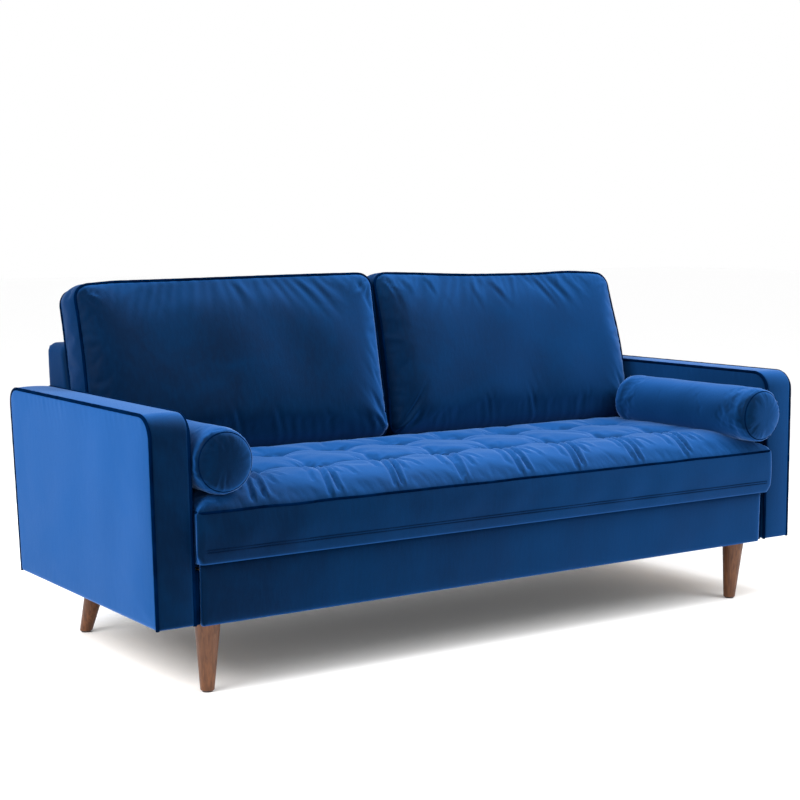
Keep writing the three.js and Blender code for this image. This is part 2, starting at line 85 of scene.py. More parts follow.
def ripples(u: Array, v: Array, seed: int, size: float, waves: int = 9) -> Array:
    """Smooth random swell over a surface, about -1 to 1.

    The sum of plane waves of random direction and phase, with wavelengths between size and two sizes.

    Args:
        u: First coordinate, in metres.
        v: Second coordinate, in metres.
        seed: Which swell.
        size: Shortest wavelength, in metres.
        waves: How many plane waves are added.

    Returns:
        The height of the swell at each point.
    """
    draw = np.random.default_rng(seed)
    total = np.zeros_like(u, dtype=float)
    for _ in range(waves):
        angle = draw.uniform(0, math.pi)
        turn = 2 * math.pi / (size * draw.uniform(1.0, 2.0))
        phase = draw.uniform(0, 2 * math.pi)
        total += np.sin(turn * (u * math.cos(angle) + v * math.sin(angle)) + phase)
    return total / math.sqrt(waves * 2.0)


@dataclass
class Surface:
    """A mesh in arrays.

    Attributes:
        points: Vertex positions, one row of three numbers each, in metres.
        faces: Corner numbers of each quadrilateral.
    """

    points: Array
    faces: Array

    def joined(self, other: "Surface") -> "Surface":
        """This surface and another one as a single mesh."""
        faces = np.vstack([self.faces, other.faces + len(self.points)])
        return Surface(np.vstack([self.points, other.points]), faces)

    def repeated(self, places: Array) -> "Surface":
        """A copy of this surface at each place, as a single mesh.

        Args:
            places: How far each copy is moved, one row of three numbers each.

        Returns:
            All the copies.
        """
        points = places[:, None, :] + self.points[None, :, :]
        first = np.arange(len(places))[:, None, None] * len(self.points)
        return Surface(points.reshape(-1, 3), (first + self.faces[None, :, :]).reshape(-1, 4))

    def make(self, name: str) -> bpy.types.Object:
        """Puts the arrays into a smooth-shaded Blender mesh.

        Args:
            name: Name of the piece.

        Returns:
            The new object, at the origin, in the scene.
        """
        mesh = bpy.data.meshes.new(name)
        mesh.vertices.add(len(self.points))
        mesh.vertices.foreach_set("co", self.points.astype(np.float32).ravel())
        count = len(self.faces)
        mesh.loops.add(4 * count)
        mesh.loops.foreach_set("vertex_index", self.faces.astype(np.int32).ravel())
        mesh.polygons.add(count)
        mesh.polygons.foreach_set("loop_start", np.arange(0, 4 * count, 4, dtype=np.int32))
        mesh.update(calc_edges=True)
        mesh.validate()
        mesh.polygons.foreach_set("use_smooth", np.ones(len(mesh.polygons), dtype=bool))
        piece = bpy.data.objects.new(name, mesh)
        bpy.context.scene.collection.objects.link(piece)
        return piece


class Lattice:
    """The skin of a box-shaped lattice, with its coordinates from -1 to 1 along each axis."""

    def __init__(self, steps: tuple[int, int, int]) -> None:
        """Numbers the lattice points on the skin and lists its faces, all facing out.

        Args:
            steps: How many cells there are along each axis.
        """
        na, nb, nc = steps
        shape = (na + 1, nb + 1, nc + 1)
        i, j, k = np.meshgrid(*(np.arange(n) for n in shape), indexing="ij")
        skin = (i % na == 0) | (j % nb == 0) | (k % nc == 0)
        number = np.full(shape, -1)
        number[skin] = np.arange(skin.sum())
        self.a = 2.0 * i[skin] / na - 1.0
        self.b = 2.0 * j[skin] / nb - 1.0
        self.c = 2.0 * k[skin] / nc - 1.0
        sides = [
            (number[:, :, -1], False), (number[:, :, 0], True),
            (number[:, 0, :], False), (number[:, -1, :], True),
            (number[-1, :, :], False), (number[0, :, :], True),
        ]
        self.faces = np.vstack([self._cells(side, turned) for side, turned in sides])

    @staticmethod
    def _cells(side: Array, turned: bool) -> Array:
        """The cells of one side of the lattice.

        Args:
            side: Point numbers on that side, as a grid.
            turned: Whether the corners run the other way round.

        Returns:
            The corner numbers of each cell.
        """
        corners = [side[:-1, :-1], side[1:, :-1], side[1:, 1:], side[:-1, 1:]]
        cells = np.stack([c.ravel() for c in corners], axis=1)
        return cells[:, ::-1] if turned else cells

    def walls(self) -> Array:
        """Which faces lie on the walls, which are the sides along the third axis."""
        return (self.rim()[self.faces] > ON_END).all(axis=1)

    def rim(self) -> Array:
        """How far each point is from the middle of its layer: 0 there and 1 on the layer's outline."""
        return np.maximum(np.abs(self.a), np.abs(self.b))


def rounded(a: Array, b: Array, half: tuple[float, float], radius: float | Array) -> tuple[Array, Array]:
    """Maps a square of lattice coordinates onto a rectangle with round corners.

    Each square ring of the lattice becomes a smaller copy of the outline. On the outline a point keeps its
    distance along the side, and within a radius of the corner it goes onto the arc instead.

    Args:
        a: Lattice coordinate across, -1 to 1.
        b: Lattice coordinate up, -1 to 1.
        half: Half the rectangle's two sides.
        radius: Corner radius, or one for each point.

    Returns:
        The two coordinates of each point.
    """
    ring = np.maximum(np.maximum(np.abs(a), np.abs(b)), TINY)
    qa, qb = np.abs(a) / ring, np.abs(b) / ring
    x, y = qa * half[0], qb * half[1]
    upright = qa >= qb
    along = np.where(upright, (y - (half[1] - radius)) / radius, (x - (half[0] - radius)) / radius)
    arc = np.clip(along, 0.0, 1.0) * math.pi / 4
    turn = np.where(upright, arc, math.pi / 2 - arc)
    on_arc = along > 0
    x = np.where(on_arc, half[0] - radius + radius * np.cos(turn), x)
    y = np.where(on_arc, half[1] - radius + radius * np.sin(turn), y)
    return np.sign(a) * x * ring, np.sign(b) * y * ring


def ring_faces(number: Array, closed: bool) -> Array:
    """Quadrilaterals between neighbouring rings of points.

    Args:
        number: Point numbers, a row for each ring.
        closed: Whether the last ring joins the first.

    Returns:
        The corner numbers of each face.
    """
    grid = np.vstack([number, number[:1]]) if closed else number
    grid = np.hstack([grid, grid[:, :1]])
    corners = [grid[:-1, :-1], grid[:-1, 1:], grid[1:, 1:], grid[1:, :-1]]
    return np.stack([c.ravel() for c in corners], axis=1)


def arc(centre: tuple | Array, radius: float, turn: Array) -> Array:
    """Points on a circle, one for each angle in radians from its first axis."""
    return np.array(centre) + radius * np.stack([np.cos(turn), np.sin(turn)], axis=1)


def tube(path: Array, radius: float | Array, closed: bool, sides: int = 10) -> Surface:
    """A round cord along a path, with flat closed ends if it is open.

    At each point a circle is drawn in the plane square to the path. Its first axis is the previous one with
    the part along the path taken away, so that the circles don't twist, and a closed path spreads what twist
    is left over its length.

    Args:
        path: Points along the middle of the cord.
        radius: Radius of the cord, or one for each point.
        closed: Whether the path ends where it starts; its first point isn't repeated.
        sides: How many sides the cord has.

    Returns:
        The cord's surface.
    """
    count = len(path)
    if closed:
        tangent = np.roll(path, -1, axis=0) - np.roll(path, 1, axis=0)
    else:
        tangent = np.gradient(path, axis=0)
    tangent /= np.linalg.norm(tangent, axis=1)[:, None]
    normal = np.empty_like(path)
    guess = np.array([0.0, 0.0, 1.0]) if abs(tangent[0][2]) < 0.9 else np.array([1.0, 0.0, 0.0])
    for i in range(count):
        guess = guess - tangent[i] * (guess @ tangent[i])
        guess = guess / np.linalg.norm(guess)
        normal[i] = guess
    binormal = np.cross(tangent, normal)
    twist = np.zeros(count)
    if closed:
        last = normal[-1] - tangent[0] * (normal[-1] @ tangent[0])
        left = math.atan2(last @ binormal[0], last @ normal[0])
        twist = -left * np.arange(count) / count
    angle = np.linspace(0, 2 * math.pi, sides, endpoint=False)[None, :] + twist[:, None]
    size = np.broadcast_to(np.asarray(radius, dtype=float), (count,))[:, None, None]
    rings = path[:, None, :] + size * (
        np.cos(angle)[..., None] * normal[:, None, :] + np.sin(angle)[..., None] * binormal[:, None, :])
    number = np.arange(count * sides).reshape(count, sides)
    faces = ring_faces(number, closed)
    points = rings.reshape(-1, 3)
    if not closed:
        points, faces = with_caps(points, faces, number)
    return Surface(points, faces)


def with_caps(points: Array, faces: Array, number: Array) -> tuple[Array, Array]:
    """Closes a tube's two ends with quadrilaterals round a middle point.

    Args:
        points: The tube's points.
        faces: The tube's faces.
        number: Point numbers, a row for each ring.

    Returns:
        The points and faces with both ends closed.
    """
    for ring, flip in ((number[0], True), (number[-1], False)):
        centre = len(points)
        points = np.vstack([points, points[ring].mean(axis=0)])
        a, b, c = ring[0::2], ring[1::2], np.roll(ring, -2)[0::2]
        cap = np.stack([a, b, c, np.full(len(a), centre)], axis=1)
        faces = np.vstack([faces, cap[:, ::-1] if flip else cap])
    return points, faces


def smooth_path(path: Array, closed: bool, passes: int = 2) -> Array:
    """Averages each point of a path with its neighbours, a few times over.

    Args:
        path: Points along the path.
        closed: Whether it ends where it starts.
        passes: How many times it is averaged.

    Returns:
        The smoother path.
    """
    for _ in range(passes):
        if closed:
            path = 0.5 * path + 0.25 * (np.roll(path, 1, axis=0) + np.roll(path, -1, axis=0))
        else:
            path = np.vstack([path[:1], 0.5 * path[1:-1] + 0.25 * (path[:-2] + path[2:]), path[-1:]])
    return path


def respaced(path: Array, step: float, closed: bool) -> Array:
    """The same path with its points about one step apart.

    Args:
        path: Points along the path.
        step: Wanted distance between points, in metres.
        closed: Whether it ends where it starts; the first point isn't repeated.

    Returns:
        The new points.
    """
    whole = np.vstack([path, path[:1]]) if closed else path
    along = np.concatenate([[0.0], np.cumsum(np.linalg.norm(np.diff(whole, axis=0), axis=1))])
    count = max(4, int(round(along[-1] / step)))
    places = np.linspace(0, along[-1], count + 1)
    fresh = np.stack([np.interp(places, along, whole[:, axis]) for axis in range(3)], axis=1)
    return fresh[:-1] if closed else fresh


# ---------------------------------------------------------------- shader groups
class ShaderGroup:
    """A shader node group under construction, with short ways to add and wire its nodes."""

    def __init__(self, name: str, inputs: dict[str, object]) -> None:
        """Starts a group that gives a Color, a Roughness and a Height.

        Args:
            name: Name of the group.
            inputs: First value of each input, by name. Four numbers are a colour and three a vector.
        """
        kinds = {4: "NodeSocketColor", 3: "NodeSocketVector", 1: "NodeSocketFloat"}
        self.tree = bpy.data.node_groups.new(name, "ShaderNodeTree")
        for label, value in inputs.items():
            kind = kinds[np.size(value)]
            self.tree.interface.new_socket(label, in_out="INPUT", socket_type=kind).default_value = value
        for label, size in (("Color", 4), ("Roughness", 1), ("Height", 1)):
            self.tree.interface.new_socket(label, in_out="OUTPUT", socket_type=kinds[size])
        self.start = self.tree.nodes.new("NodeGroupInput")
        self.end = self.tree.nodes.new("NodeGroupOutput")

    def add(self, kind: str, settings: dict | None = None, sockets: dict | None = None) -> bpy.types.Node:
        """Adds a node, sets its options, and fills or wires its inputs."""
        return add_node(self.tree, kind, settings or {}, sockets or {})

    def given(self, label: str) -> Socket:
        """An input of the group, as something to wire from."""
        return self.start.outputs[label]

    def give(self, label: str, socket: Socket) -> None:
        """Wires something to an output of the group."""
        self.tree.links.new(socket, self.end.inputs[label])

    def place(self) -> Socket:
        """The point on the surface, in metres."""
        return self.add("ShaderNodeTexCoord").outputs["Object"]

    def math(self, operation: str, first: object, second: object) -> Socket:
        """A Math node on two values."""
        return self.add("ShaderNodeMath", {"operation": operation}, {0: first, 1: second}).outputs[0]

    def plus(self, first: object, second: object) -> Socket:
        """The sum of two values."""
        return self.math("ADD", first, second)

    def times(self, first: object, second: object) -> Socket:
        """The product of two values."""
        return self.math("MULTIPLY", first, second)

    def remap(self, value: Socket, low: float, high: float) -> Socket:
        """Stretches a value so that low becomes 0 and high becomes 1, smoothly and held at both ends.

        Args:
            value: The value.
            low: What becomes 0.
            high: What becomes 1.

        Returns:
            The stretched value.
        """
        settings = {"interpolation_type": "SMOOTHSTEP"}
        sockets = {"Value": value, "From Min": low, "From Max": high}
        return self.add("ShaderNodeMapRange", settings, sockets).outputs["Result"]

    def blend(self, share: object, first: object, second: object) -> Socket:
        """Mixes two colours by a share from 0 to 1."""
        return mix_colors(self.tree, share, first, second)

    def noise(self, place: Socket, scale: object, detail: float, roughness: float = 0.5,
              distortion: float = 0.0) -> Socket:
        """Cloudy noise, about 0.3 to 0.7.

        Args:
            place: Where on the surface it is read.
            scale: How many lumps there are to the metre.
            detail: How many finer layers are added.
            roughness: How strong the finer layers are.
            distortion: How much the lumps are bent.

        Returns:
            The noise at each point.
        """
        return self.add("ShaderNodeTexNoise", {}, {
            "Vector": place, "Scale": scale, "Detail": detail, "Roughness": roughness,
            "Distortion": distortion}).outputs["Fac"]


def add_node(tree: bpy.types.NodeTree, kind: str, settings: dict, sockets: dict) -> bpy.types.Node:
    """Adds a shader node.

    Args:
        tree: The material's or group's node tree.
        kind: Blender's name for the node type.
        settings: Attributes to set on the node.
        sockets: Value of each input, or the socket that feeds it, by name or number.

    Returns:
        The new node.
    """
    node = tree.nodes.new(kind)
    for key, value in settings.items():
        setattr(node, key, value)
    for key, value in sockets.items():
        if isinstance(value, bpy.types.NodeSocket):
            tree.links.new(value, node.inputs[key])
        else:
            node.inputs[key].default_value = value
    return node


def mix_colors(tree: bpy.types.NodeTree, share: object, first: object, second: object) -> Socket:
    """Mixes two colours by a share from 0 to 1, by the numbers of the Mix node's colour sockets."""
    return add_node(tree, "ShaderNodeMix", {"data_type": "RGBA"}, {0: share, 6: first, 7: second}).outputs[2]


BLACK, WHITE = (0, 0, 0, 1), (1, 1, 1, 1)


def build_pile_group() -> bpy.types.NodeTree:
    """The nap of cut velvet: soft patches where the pile lies another way, short brush marks and fine pile.

    Returns:
        The group.
    """
    group = ShaderGroup("velvet_pile", {"Deep": BLACK, "Bright": WHITE, "Patch Size": 0.25, "Brushing": 0.5})
    place = group.place()
    patches = group.noise(place, group.math("DIVIDE", 1.0, group.given("Patch Size")), 4.0, 0.55, 0.6)
    patch = group.remap(patches, 0.36, 0.66)
    stretch = group.add("ShaderNodeMapping", {}, {"Vector": place, "Scale": (1.0, 1.0, 0.28)})
    mark = group.remap(group.noise(stretch.outputs["Vector"], 95.0, 3.0, 0.6, 0.3), 0.34, 0.7)
    fine = group.noise(place, 1500.0, 2.0, 0.7)
    brushed = group.times(mark, group.given("Brushing"))
    nap = group.plus(group.times(patch, 0.75), group.times(brushed, 0.5))
    grainy = group.plus(nap, group.times(fine, 0.22))
    share = group.math("MINIMUM", group.math("SUBTRACT", grainy, 0.16), 1.0)
    group.give("Color", group.blend(share, group.given("Deep"), group.given("Bright")))
    group.give("Roughness", group.plus(0.5, group.times(nap, 0.2)))
    group.give("Height", group.plus(fine, group.times(mark, 0.6)))
    return group.tree


def build_grain_group() -> bpy.types.NodeTree:
    """Wood grain: rings stretched along one axis, darker pores and slow changes of tone.

    Returns:
        The group.
    """
    group = ShaderGroup("wood_grain", {"Pale": WHITE, "Dark": BLACK, "Along": (1.0, 1.0, 0.07), "Rings": 90.0})
    place = group.place()
    along = group.add("ShaderNodeVectorMath", {"operation": "MULTIPLY"}, {
        0: place, 1: group.given("Along")}).outputs["Vector"]
    ring = group.remap(group.noise(along, group.given("Rings"), 5.0, 0.62, 1.4), 0.32, 0.68)
    pore = group.remap(group.noise(along, 900.0, 2.0), 0.56, 0.72)
    tone = group.remap(group.noise(place, 9.0, 2.0), 0.4, 0.75)
    base = group.blend(ring, group.given("Pale"), group.given("Dark"))
    shade = group.plus(group.times(pore, 0.45), group.times(tone, 0.3))
    group.give("Color", group.blend(shade, base, group.given("Dark")))
    group.give("Roughness", group.plus(0.36, group.times(ring, 0.16)))
    group.give("Height", group.math("SUBTRACT", group.times(ring, 0.4), pore))
    return group.tree


def build_weave_group() -> bpy.types.NodeTree:
    """A plain weave: two crossing sets of threads, worked out from waves along X and Y.

    Returns:
        The group.
    """
    group = ShaderGroup("plain_weave", {"Thread": WHITE, "Gap": BLACK, "Count": 500.0})
    place = group.place()
    across, along = (
        group.add("ShaderNodeTexWave", {"bands_direction": direction}, {
            "Vector": place, "Scale": group.given("Count"), "Distortion": 0.4, "Detail": 1.0}).outputs["Fac"]
        for direction in ("X", "Y"))
    height = group.math("MAXIMUM", across, along)
    wear = group.noise(place, 14.0, 3.0)
    share = group.times(height, group.plus(0.5, group.times(wear, 0.7)))
    group.give("Color", group.blend(share, group.given("Gap"), group.given("Thread")))
    group.give("Roughness", group.math("SUBTRACT", 0.95, group.times(height, 0.12)))
    group.give("Height", height)
    return group.tree


def build_mottle_group() -> bpy.types.NodeTree:
    """Small speckles and slow stains, for foam, metal and moulded parts.

    Returns:
        The group.
    """
    group = ShaderGroup("mottle", {"Base": WHITE, "Stain": BLACK, "Grain": 400.0, "Gloss": 0.5})
    place = group.place()
    speck = group.noise(place, group.given("Grain"), 3.0, 0.6)
    stain = group.remap(group.noise(place, 11.0, 4.0), 0.5, 0.8)
    share = group.plus(group.times(group.remap(speck, 0.35, 0.7), 0.35), group.times(stain, 0.5))
    group.give("Color", group.blend(share, group.given("Base"), group.given("Stain")))
    group.give("Roughness", group.plus(group.given("Gloss"), group.times(share, 0.2)))
    group.give("Height", speck)
    return group.tree


# ---------------------------------------------------------------- finishes
class Pattern(Enum):
    """The shader groups that a finish can be built on."""

    PILE = "velvet_pile"
    GRAIN = "wood_grain"
    WEAVE = "plain_weave"
    MOTTLE = "mottle"


GROUP_BUILDERS = {
    Pattern.PILE: build_pile_group, Pattern.GRAIN: build_grain_group,
    Pattern.WEAVE: build_weave_group, Pattern.MOTTLE: build_mottle_group,
}


# Facing values at which the painted sheen starts to show, and at which it covers the base colour fully
SHEEN_PAINT_START, SHEEN_PAINT_FULL = 0.13, 0.62


@dataclass(frozen=True)
class Finish:
    """One material.

    Attributes:
        name: Name of the material.
        pattern: Which shader group gives its colour, roughness and height.
        values: Values of the group's inputs.
        shader: Values of the Principled BSDF's own sockets.
        relief: Strength of the bump.
        depth: How far the bump's height reaches, in metres.
        painted_sheen: Painted sheen, a colour mixed into the base colour as the surface turns side-on to the
            view, or None.
    """

    name: str
    pattern: Pattern
    values: tuple[tuple[str, object], ...]
    shader: tuple[tuple[str, object], ...] = ()
    relief: float = 0.3
    depth: float = 0.0005
    painted_sheen: tuple | None = None

    def material(self) -> bpy.types.Material:
        """The Blender material, made the first time it is asked for.

        Returns:
            The material.
        """
        found = bpy.data.materials.get(self.name)
        if found is not None:
            return found
        made = bpy.data.materials.new(self.name)
        made.use_nodes = True
        tree = made.node_tree
        shader = tree.nodes["Principled BSDF"]
        for label, value in self.shader:
            shader.inputs[label].default_value = value
        pattern = tree.nodes.new("ShaderNodeGroup")
        name = self.pattern.value
        pattern.node_tree = bpy.data.node_groups.get(name) or GROUP_BUILDERS[self.pattern]()
        for label, value in self.values:
            pattern.inputs[label].default_value = value
        bump = add_node(tree, "ShaderNodeBump", {}, {
            "Strength": self.relief, "Distance": self.depth, "Height": pattern.outputs["Height"]})
        color = pattern.outputs["Color"]
        # Painted sheen: the base colour turns towards this finish's sheen colour where the surface is seen
        # side-on
        if self.painted_sheen is not None:
            weight = add_node(tree, "ShaderNodeLayerWeight", {}, {
                "Blend": 0.5, "Normal": bump.outputs["Normal"]})
            share = add_node(tree, "ShaderNodeMapRange", {"interpolation_type": "LINEAR"}, {
                "Value": weight.outputs["Facing"], "From Min": SHEEN_PAINT_START, "From Max": SHEEN_PAINT_FULL})
            color = mix_colors(tree, share.outputs["Result"], color, self.painted_sheen)
        tree.links.new(color, shader.inputs["Base Color"])
        tree.links.new(pattern.outputs["Roughness"], shader.inputs["Roughness"])
        tree.links.new(bump.outputs["Normal"], shader.inputs["Normal"])
        return made

    def dress(self, piece: bpy.types.Object) -> None:
        """Makes this the piece's only material."""
        piece.data.materials.clear()
        piece.data.materials.append(self.material())

    def dress_faces(self, piece: bpy.types.Object, chosen: Array) -> None:
        """Adds this as a second material, on some of the piece's faces.

        Args:
            piece: The piece, which already has its main material.
            chosen: Whether each face takes this one; faces past its end don't.
        """
        index = np.zeros(len(piece.data.polygons), dtype=np.int32)
        index[:len(chosen)] = chosen
        piece.data.materials.append(self.material())
        piece.data.polygons.foreach_set("material_index", index)


# The velvet's base colour carries a painted sheen: a brighter blue on faces seen side-on.
VELVET = Finish(
    "royal_blue_velvet", Pattern.PILE,
    (("Deep", (0.0, 0.0062, 0.023, 1)), ("Bright", (0.0, 0.012, 0.042, 1)),
     ("Patch Size", 0.3), ("Brushing", 0.5)),
    (("Sheen Weight", 1.0), ("Sheen Roughness", 0.28), ("Sheen Tint", (0.15, 0.26, 0.5, 1)),
     ("Specular IOR Level", 0.02)),
    relief=0.25, depth=0.0004, painted_sheen=(0.006, 0.05, 0.175, 1))
# Painted shade: a darker copy of the velvet, with a weaker painted sheen and sheen tint, for the walls of the
# back and the back cushions' gussets.
SHADED_VELVET_COPY = replace(
    VELVET, name="royal_blue_velvet_shaded_copy", painted_sheen=(0.001, 0.016, 0.06, 1),
    shader=(("Sheen Weight", 1.0), ("Sheen Roughness", 0.28), ("Sheen Tint", (0.05, 0.11, 0.24, 1)),
            ("Specular IOR Level", 0.02)))
# Welts, and the strips in the rail slots: a darker velvet, partly the welts' own colour and partly painted
# shade along the seams and deep in the slots.
WELT_WITH_PAINTED_SHADE = Finish(
    "dark_velvet_welt_and_painted_shade", Pattern.PILE,
    (("Deep", (0.0, 0.0025, 0.012, 1)), ("Bright", (0.0, 0.006, 0.028, 1)),
     ("Patch Size", 0.1), ("Brushing", 0.6)),
    (("Sheen Weight", 0.12), ("Sheen Roughness", 0.3), ("Sheen Tint", (0.02, 0.15, 0.5, 1)),
     ("Specular IOR Level", 0.0)),
    relief=0.3, depth=0.0003)
THREAD = Finish(
    "blue_sewing_thread", Pattern.MOTTLE,
    (("Base", (0.0, 0.005, 0.022, 1)), ("Stain", (0.0, 0.002, 0.01, 1)), ("Grain", 2500.0), ("Gloss", 0.6)),
    (("Specular IOR Level", 0.02),), relief=0.2, depth=0.0002)
STAINED_WOOD = Finish(
    "walnut_stained_wood", Pattern.GRAIN,
    (("Pale", (0.14, 0.052, 0.019, 1)), ("Dark", (0.06, 0.021, 0.008, 1)),
     ("Along", (1.0, 1.0, 0.06)), ("Rings", 110.0)),
    (("Coat Weight", 0.08), ("Coat Roughness", 0.35), ("Specular IOR Level", 0.25)),
    relief=0.25, depth=0.0006)
PINE = Finish(
    "bare_pine", Pattern.GRAIN,
    (("Pale", (0.62, 0.42, 0.22, 1)), ("Dark", (0.38, 0.2, 0.08, 1)),
     ("Along", (0.08, 1.0, 1.0)), ("Rings", 60.0)),
    relief=0.3, depth=0.0008)
FOAM = Finish(
    "cream_foam", Pattern.MOTTLE,
    (("Base", (0.8, 0.74, 0.58, 1)), ("Stain", (0.62, 0.53, 0.36, 1)), ("Grain", 700.0), ("Gloss", 0.8)),
    relief=0.6, depth=0.0012)
BLACK_CLOTH = Finish(
    "black_lining", Pattern.WEAVE,
    (("Thread", (0.016, 0.017, 0.02, 1)), ("Gap", (0.004, 0.004, 0.005, 1)), ("Count", 380.0)),
    relief=0.4, depth=0.0003)
WEBBING = Finish(
    "brown_webbing", Pattern.WEAVE,
    (("Thread", (0.2, 0.14, 0.07, 1)), ("Gap", (0.05, 0.03, 0.014, 1)), ("Count", 160.0)),
    relief=0.5, depth=0.0006)
STEEL = Finish(
    "zinc_plated_steel", Pattern.MOTTLE,
    (("Base", (0.56, 0.57, 0.58, 1)), ("Stain", (0.34, 0.34, 0.33, 1)), ("Grain", 500.0), ("Gloss", 0.28)),
    (("Metallic", 1.0),), relief=0.15, depth=0.0002)
NYLON = Finish(
    "black_nylon", Pattern.MOTTLE,
    (("Base", (0.02, 0.02, 0.021, 1)), ("Stain", (0.05, 0.048, 0.045, 1)), ("Grain", 900.0), ("Gloss", 0.5)),
    relief=0.2, depth=0.0002)

SLOT_FINISHES = {
    "velvet": VELVET, "stained_wood": STAINED_WOOD, "pine": PINE, "foam": FOAM,
    "black_cloth": BLACK_CLOTH, "webbing": WEBBING, "steel": STEEL, "nylon": NYLON,
}


def dress_nodes() -> None:
    """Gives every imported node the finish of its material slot."""
    for row in frame["record"]["subparts"]:
        SLOT_FINISHES[row["material_slot"]].dress(frame["nodes"][row["node"]])


# ---------------------------------------------------------------- soft shapes
@dataclass
class SoftBox:
    """A closed block with a round-cornered outline and softened edges, worked out on a lattice.

    The outline lies in the first two local axes and the walls rise along the third.

    Attributes:
        half: Half the block's sides along its three local axes, in metres.
        corner: Radius of the outline's corners.
        edge: Radius of the edges between the faces and the walls.
        cell: Wanted spacing of the mesh, in metres.
    """

    half: tuple[float, float, float]
    corner: float
    edge: float
    cell: float

    def __post_init__(self) -> None:
        """Works out the block's points, and how far each lies from its outline and from its faces."""
        steps = tuple(max(2, 2 * int(round(h / self.cell))) for h in self.half)
        self.skin = Lattice(steps)
        a, b, c = self.skin.a, self.skin.b, self.skin.c
        self.u, self.v = rounded(a, b, self.half[:2], self.corner)
        self.w = c * self.half[2]
        self.inset, self.nu, self.nv = self._from_outline(self.u, self.v)
        self.on_face = np.abs(c) > ON_END
        self.on_wall = self.skin.rim() > ON_END
        self.seam = self.on_face & self.on_wall
        self._soften()

    def _from_outline(self, u: Array, v: Array) -> tuple[Array, Array, Array]:
        """Distance to the outline and the direction straight out to it.

        The outline is a smaller rectangle grown by the corner radius, so the distance is that radius less the
        distance to the small rectangle.

        Args:
            u: First coordinate of each point.
            v: Second coordinate of each point.

        Returns:
            The distance, 0 on the outline and growing inwards, and the two parts of the direction.
        """
        du = np.abs(u) - (self.half[0] - self.corner)
        dv = np.abs(v) - (self.half[1] - self.corner)
        outside = (du > 0) & (dv > 0)
        length = np.maximum(np.hypot(np.maximum(du, 0), np.maximum(dv, 0)), TINY)
        inset = self.corner - np.where(outside, length, np.maximum(du, dv))
        nu = np.where(outside, du / length, du >= dv) * np.sign(u)
        nv = np.where(outside, dv / length, du < dv) * np.sign(v)
        return np.maximum(inset, 0.0), nu, nv

    def _soften(self) -> None:
        """Rounds the edges.

        A point within an edge radius of the edge goes onto an eighth of a circle: its distance from the edge
        becomes r (1 - sin t) and it sinks by r (1 - cos t), with t from 0 to 45 degrees.
        """
        r = max(self.edge, 1e-6)
        face_turn = np.clip(1 - self.inset / r, 0, 1) * math.pi / 4
        height = np.maximum(self.half[2] - np.abs(self.w), 0)
        wall_turn = np.clip(1 - height / r, 0, 1) * math.pi / 4
        face_move = np.where(face_turn > 0, r * (1 - np.sin(face_turn)) - self.inset, 0)
        wall_move = r * (1 - np.cos(wall_turn))
        inwards = np.where(self.on_face, face_move, wall_move)
        sink = np.where(self.on_face, r * (1 - np.cos(face_turn)),
                        np.where(wall_turn > 0, r * (1 - np.sin(wall_turn)) - height, 0))
        self.u = self.u - self.nu * inwards
        self.v = self.v - self.nv * inwards
        self.w = self.w - np.sign(self.skin.c) * sink

    def wall_share(self) -> Array:
        """1 half way up the walls, falling to 0 at both seams, and 0 on the faces."""
        return np.where(self.on_wall & ~self.on_face, 1 - self.skin.c ** 2, 0.0)


def outline_path(half: tuple[float, float], corner: float, step: float) -> Array:
    """Points round a rectangle with round corners, anticlockwise from the middle of its +U side.

    Args:
        half: Half the rectangle's two sides.
        corner: Corner radius.
        step: Wanted spacing, in metres.

    Returns:
        Two coordinates for each point.
    """
    bend = np.linspace(0, math.pi / 2, max(4, int(corner * 1.6 / step)))
    quarters = ((1, 1, 0), (-1, 1, 1), (-1, -1, 2), (1, -1, 3))
    points = np.vstack([
        arc((su * (half[0] - corner), sv * (half[1] - corner)), corner, bend + quarter * math.pi / 2)
        for su, sv, quarter in quarters])
    flat = np.column_stack([points, np.zeros(len(points))])
    return respaced(flat, step, closed=True)[:, :2]


def crease(u: Array, v: Array, start: tuple[float, float], heading: float, length: float, width: float,
           depth: float, bend: float = 0.0, tail: float = 0.6, head: float = 0.22) -> Array:
    """A fold in cloth: a groove with a ridge on one side, fading at both ends.

    Across it the height is the difference of two bell curves. Its middle line sets off at the heading and
    bends away as the square of the distance.

    Args:
        u: First coordinate of each point.
        v: Second coordinate of each point.
        start: Where it begins.
        heading: Direction it runs in, in degrees anticlockwise from +U.
        length: How long it is.
        width: Width of the bell curve.
        depth: Depth of the groove.
        bend: Sideways offset at its end.
        tail: Share of its length at which it starts to fade out.
        head: Share of its length over which it fades in.

    Returns:
        The change of height at each point.
    """
    turn = math.radians(heading)
    du, dv = u - start[0], v - start[1]
    along = du * math.cos(turn) + dv * math.sin(turn)
    side = -du * math.sin(turn) + dv * math.cos(turn) - bend * (along / length) ** 2
    share = along / length
    fade = smoothstep(0.0, head, share) * (1 - smoothstep(tail, 1.0, share))
    groove = np.exp(-((side / width) ** 2))
    ridge = np.exp(-(((side - 1.7 * width) / (1.2 * width)) ** 2))
    return fade * depth * (0.75 * ridge - groove)


def gathers(along: Array, inset: Array, size: float, reach: float, height: float, seed: int) -> Array:
    """Small puckers square to a seam, fading away from it.

    Args:
        along: Distance along the seam.
        inset: Distance from the seam.
        size: Usual spacing of the puckers.
        reach: Distance over which they fade.
        height: How high they stand.
        seed: Which set of puckers.

    Returns:
        The change of height at each point.
    """
    slant = along + 0.35 * inset
    pattern = ripples(slant, slant * 0.0, seed, size, 7)
    strength = np.clip(0.5 + 0.5 * ripples(along, along * 0.0, seed + 1, size * 7, 4), 0.0, 1.3)
    return height * pattern * strength * np.exp(-inset / reach) * smoothstep(0.0, 0.25 * reach, inset)


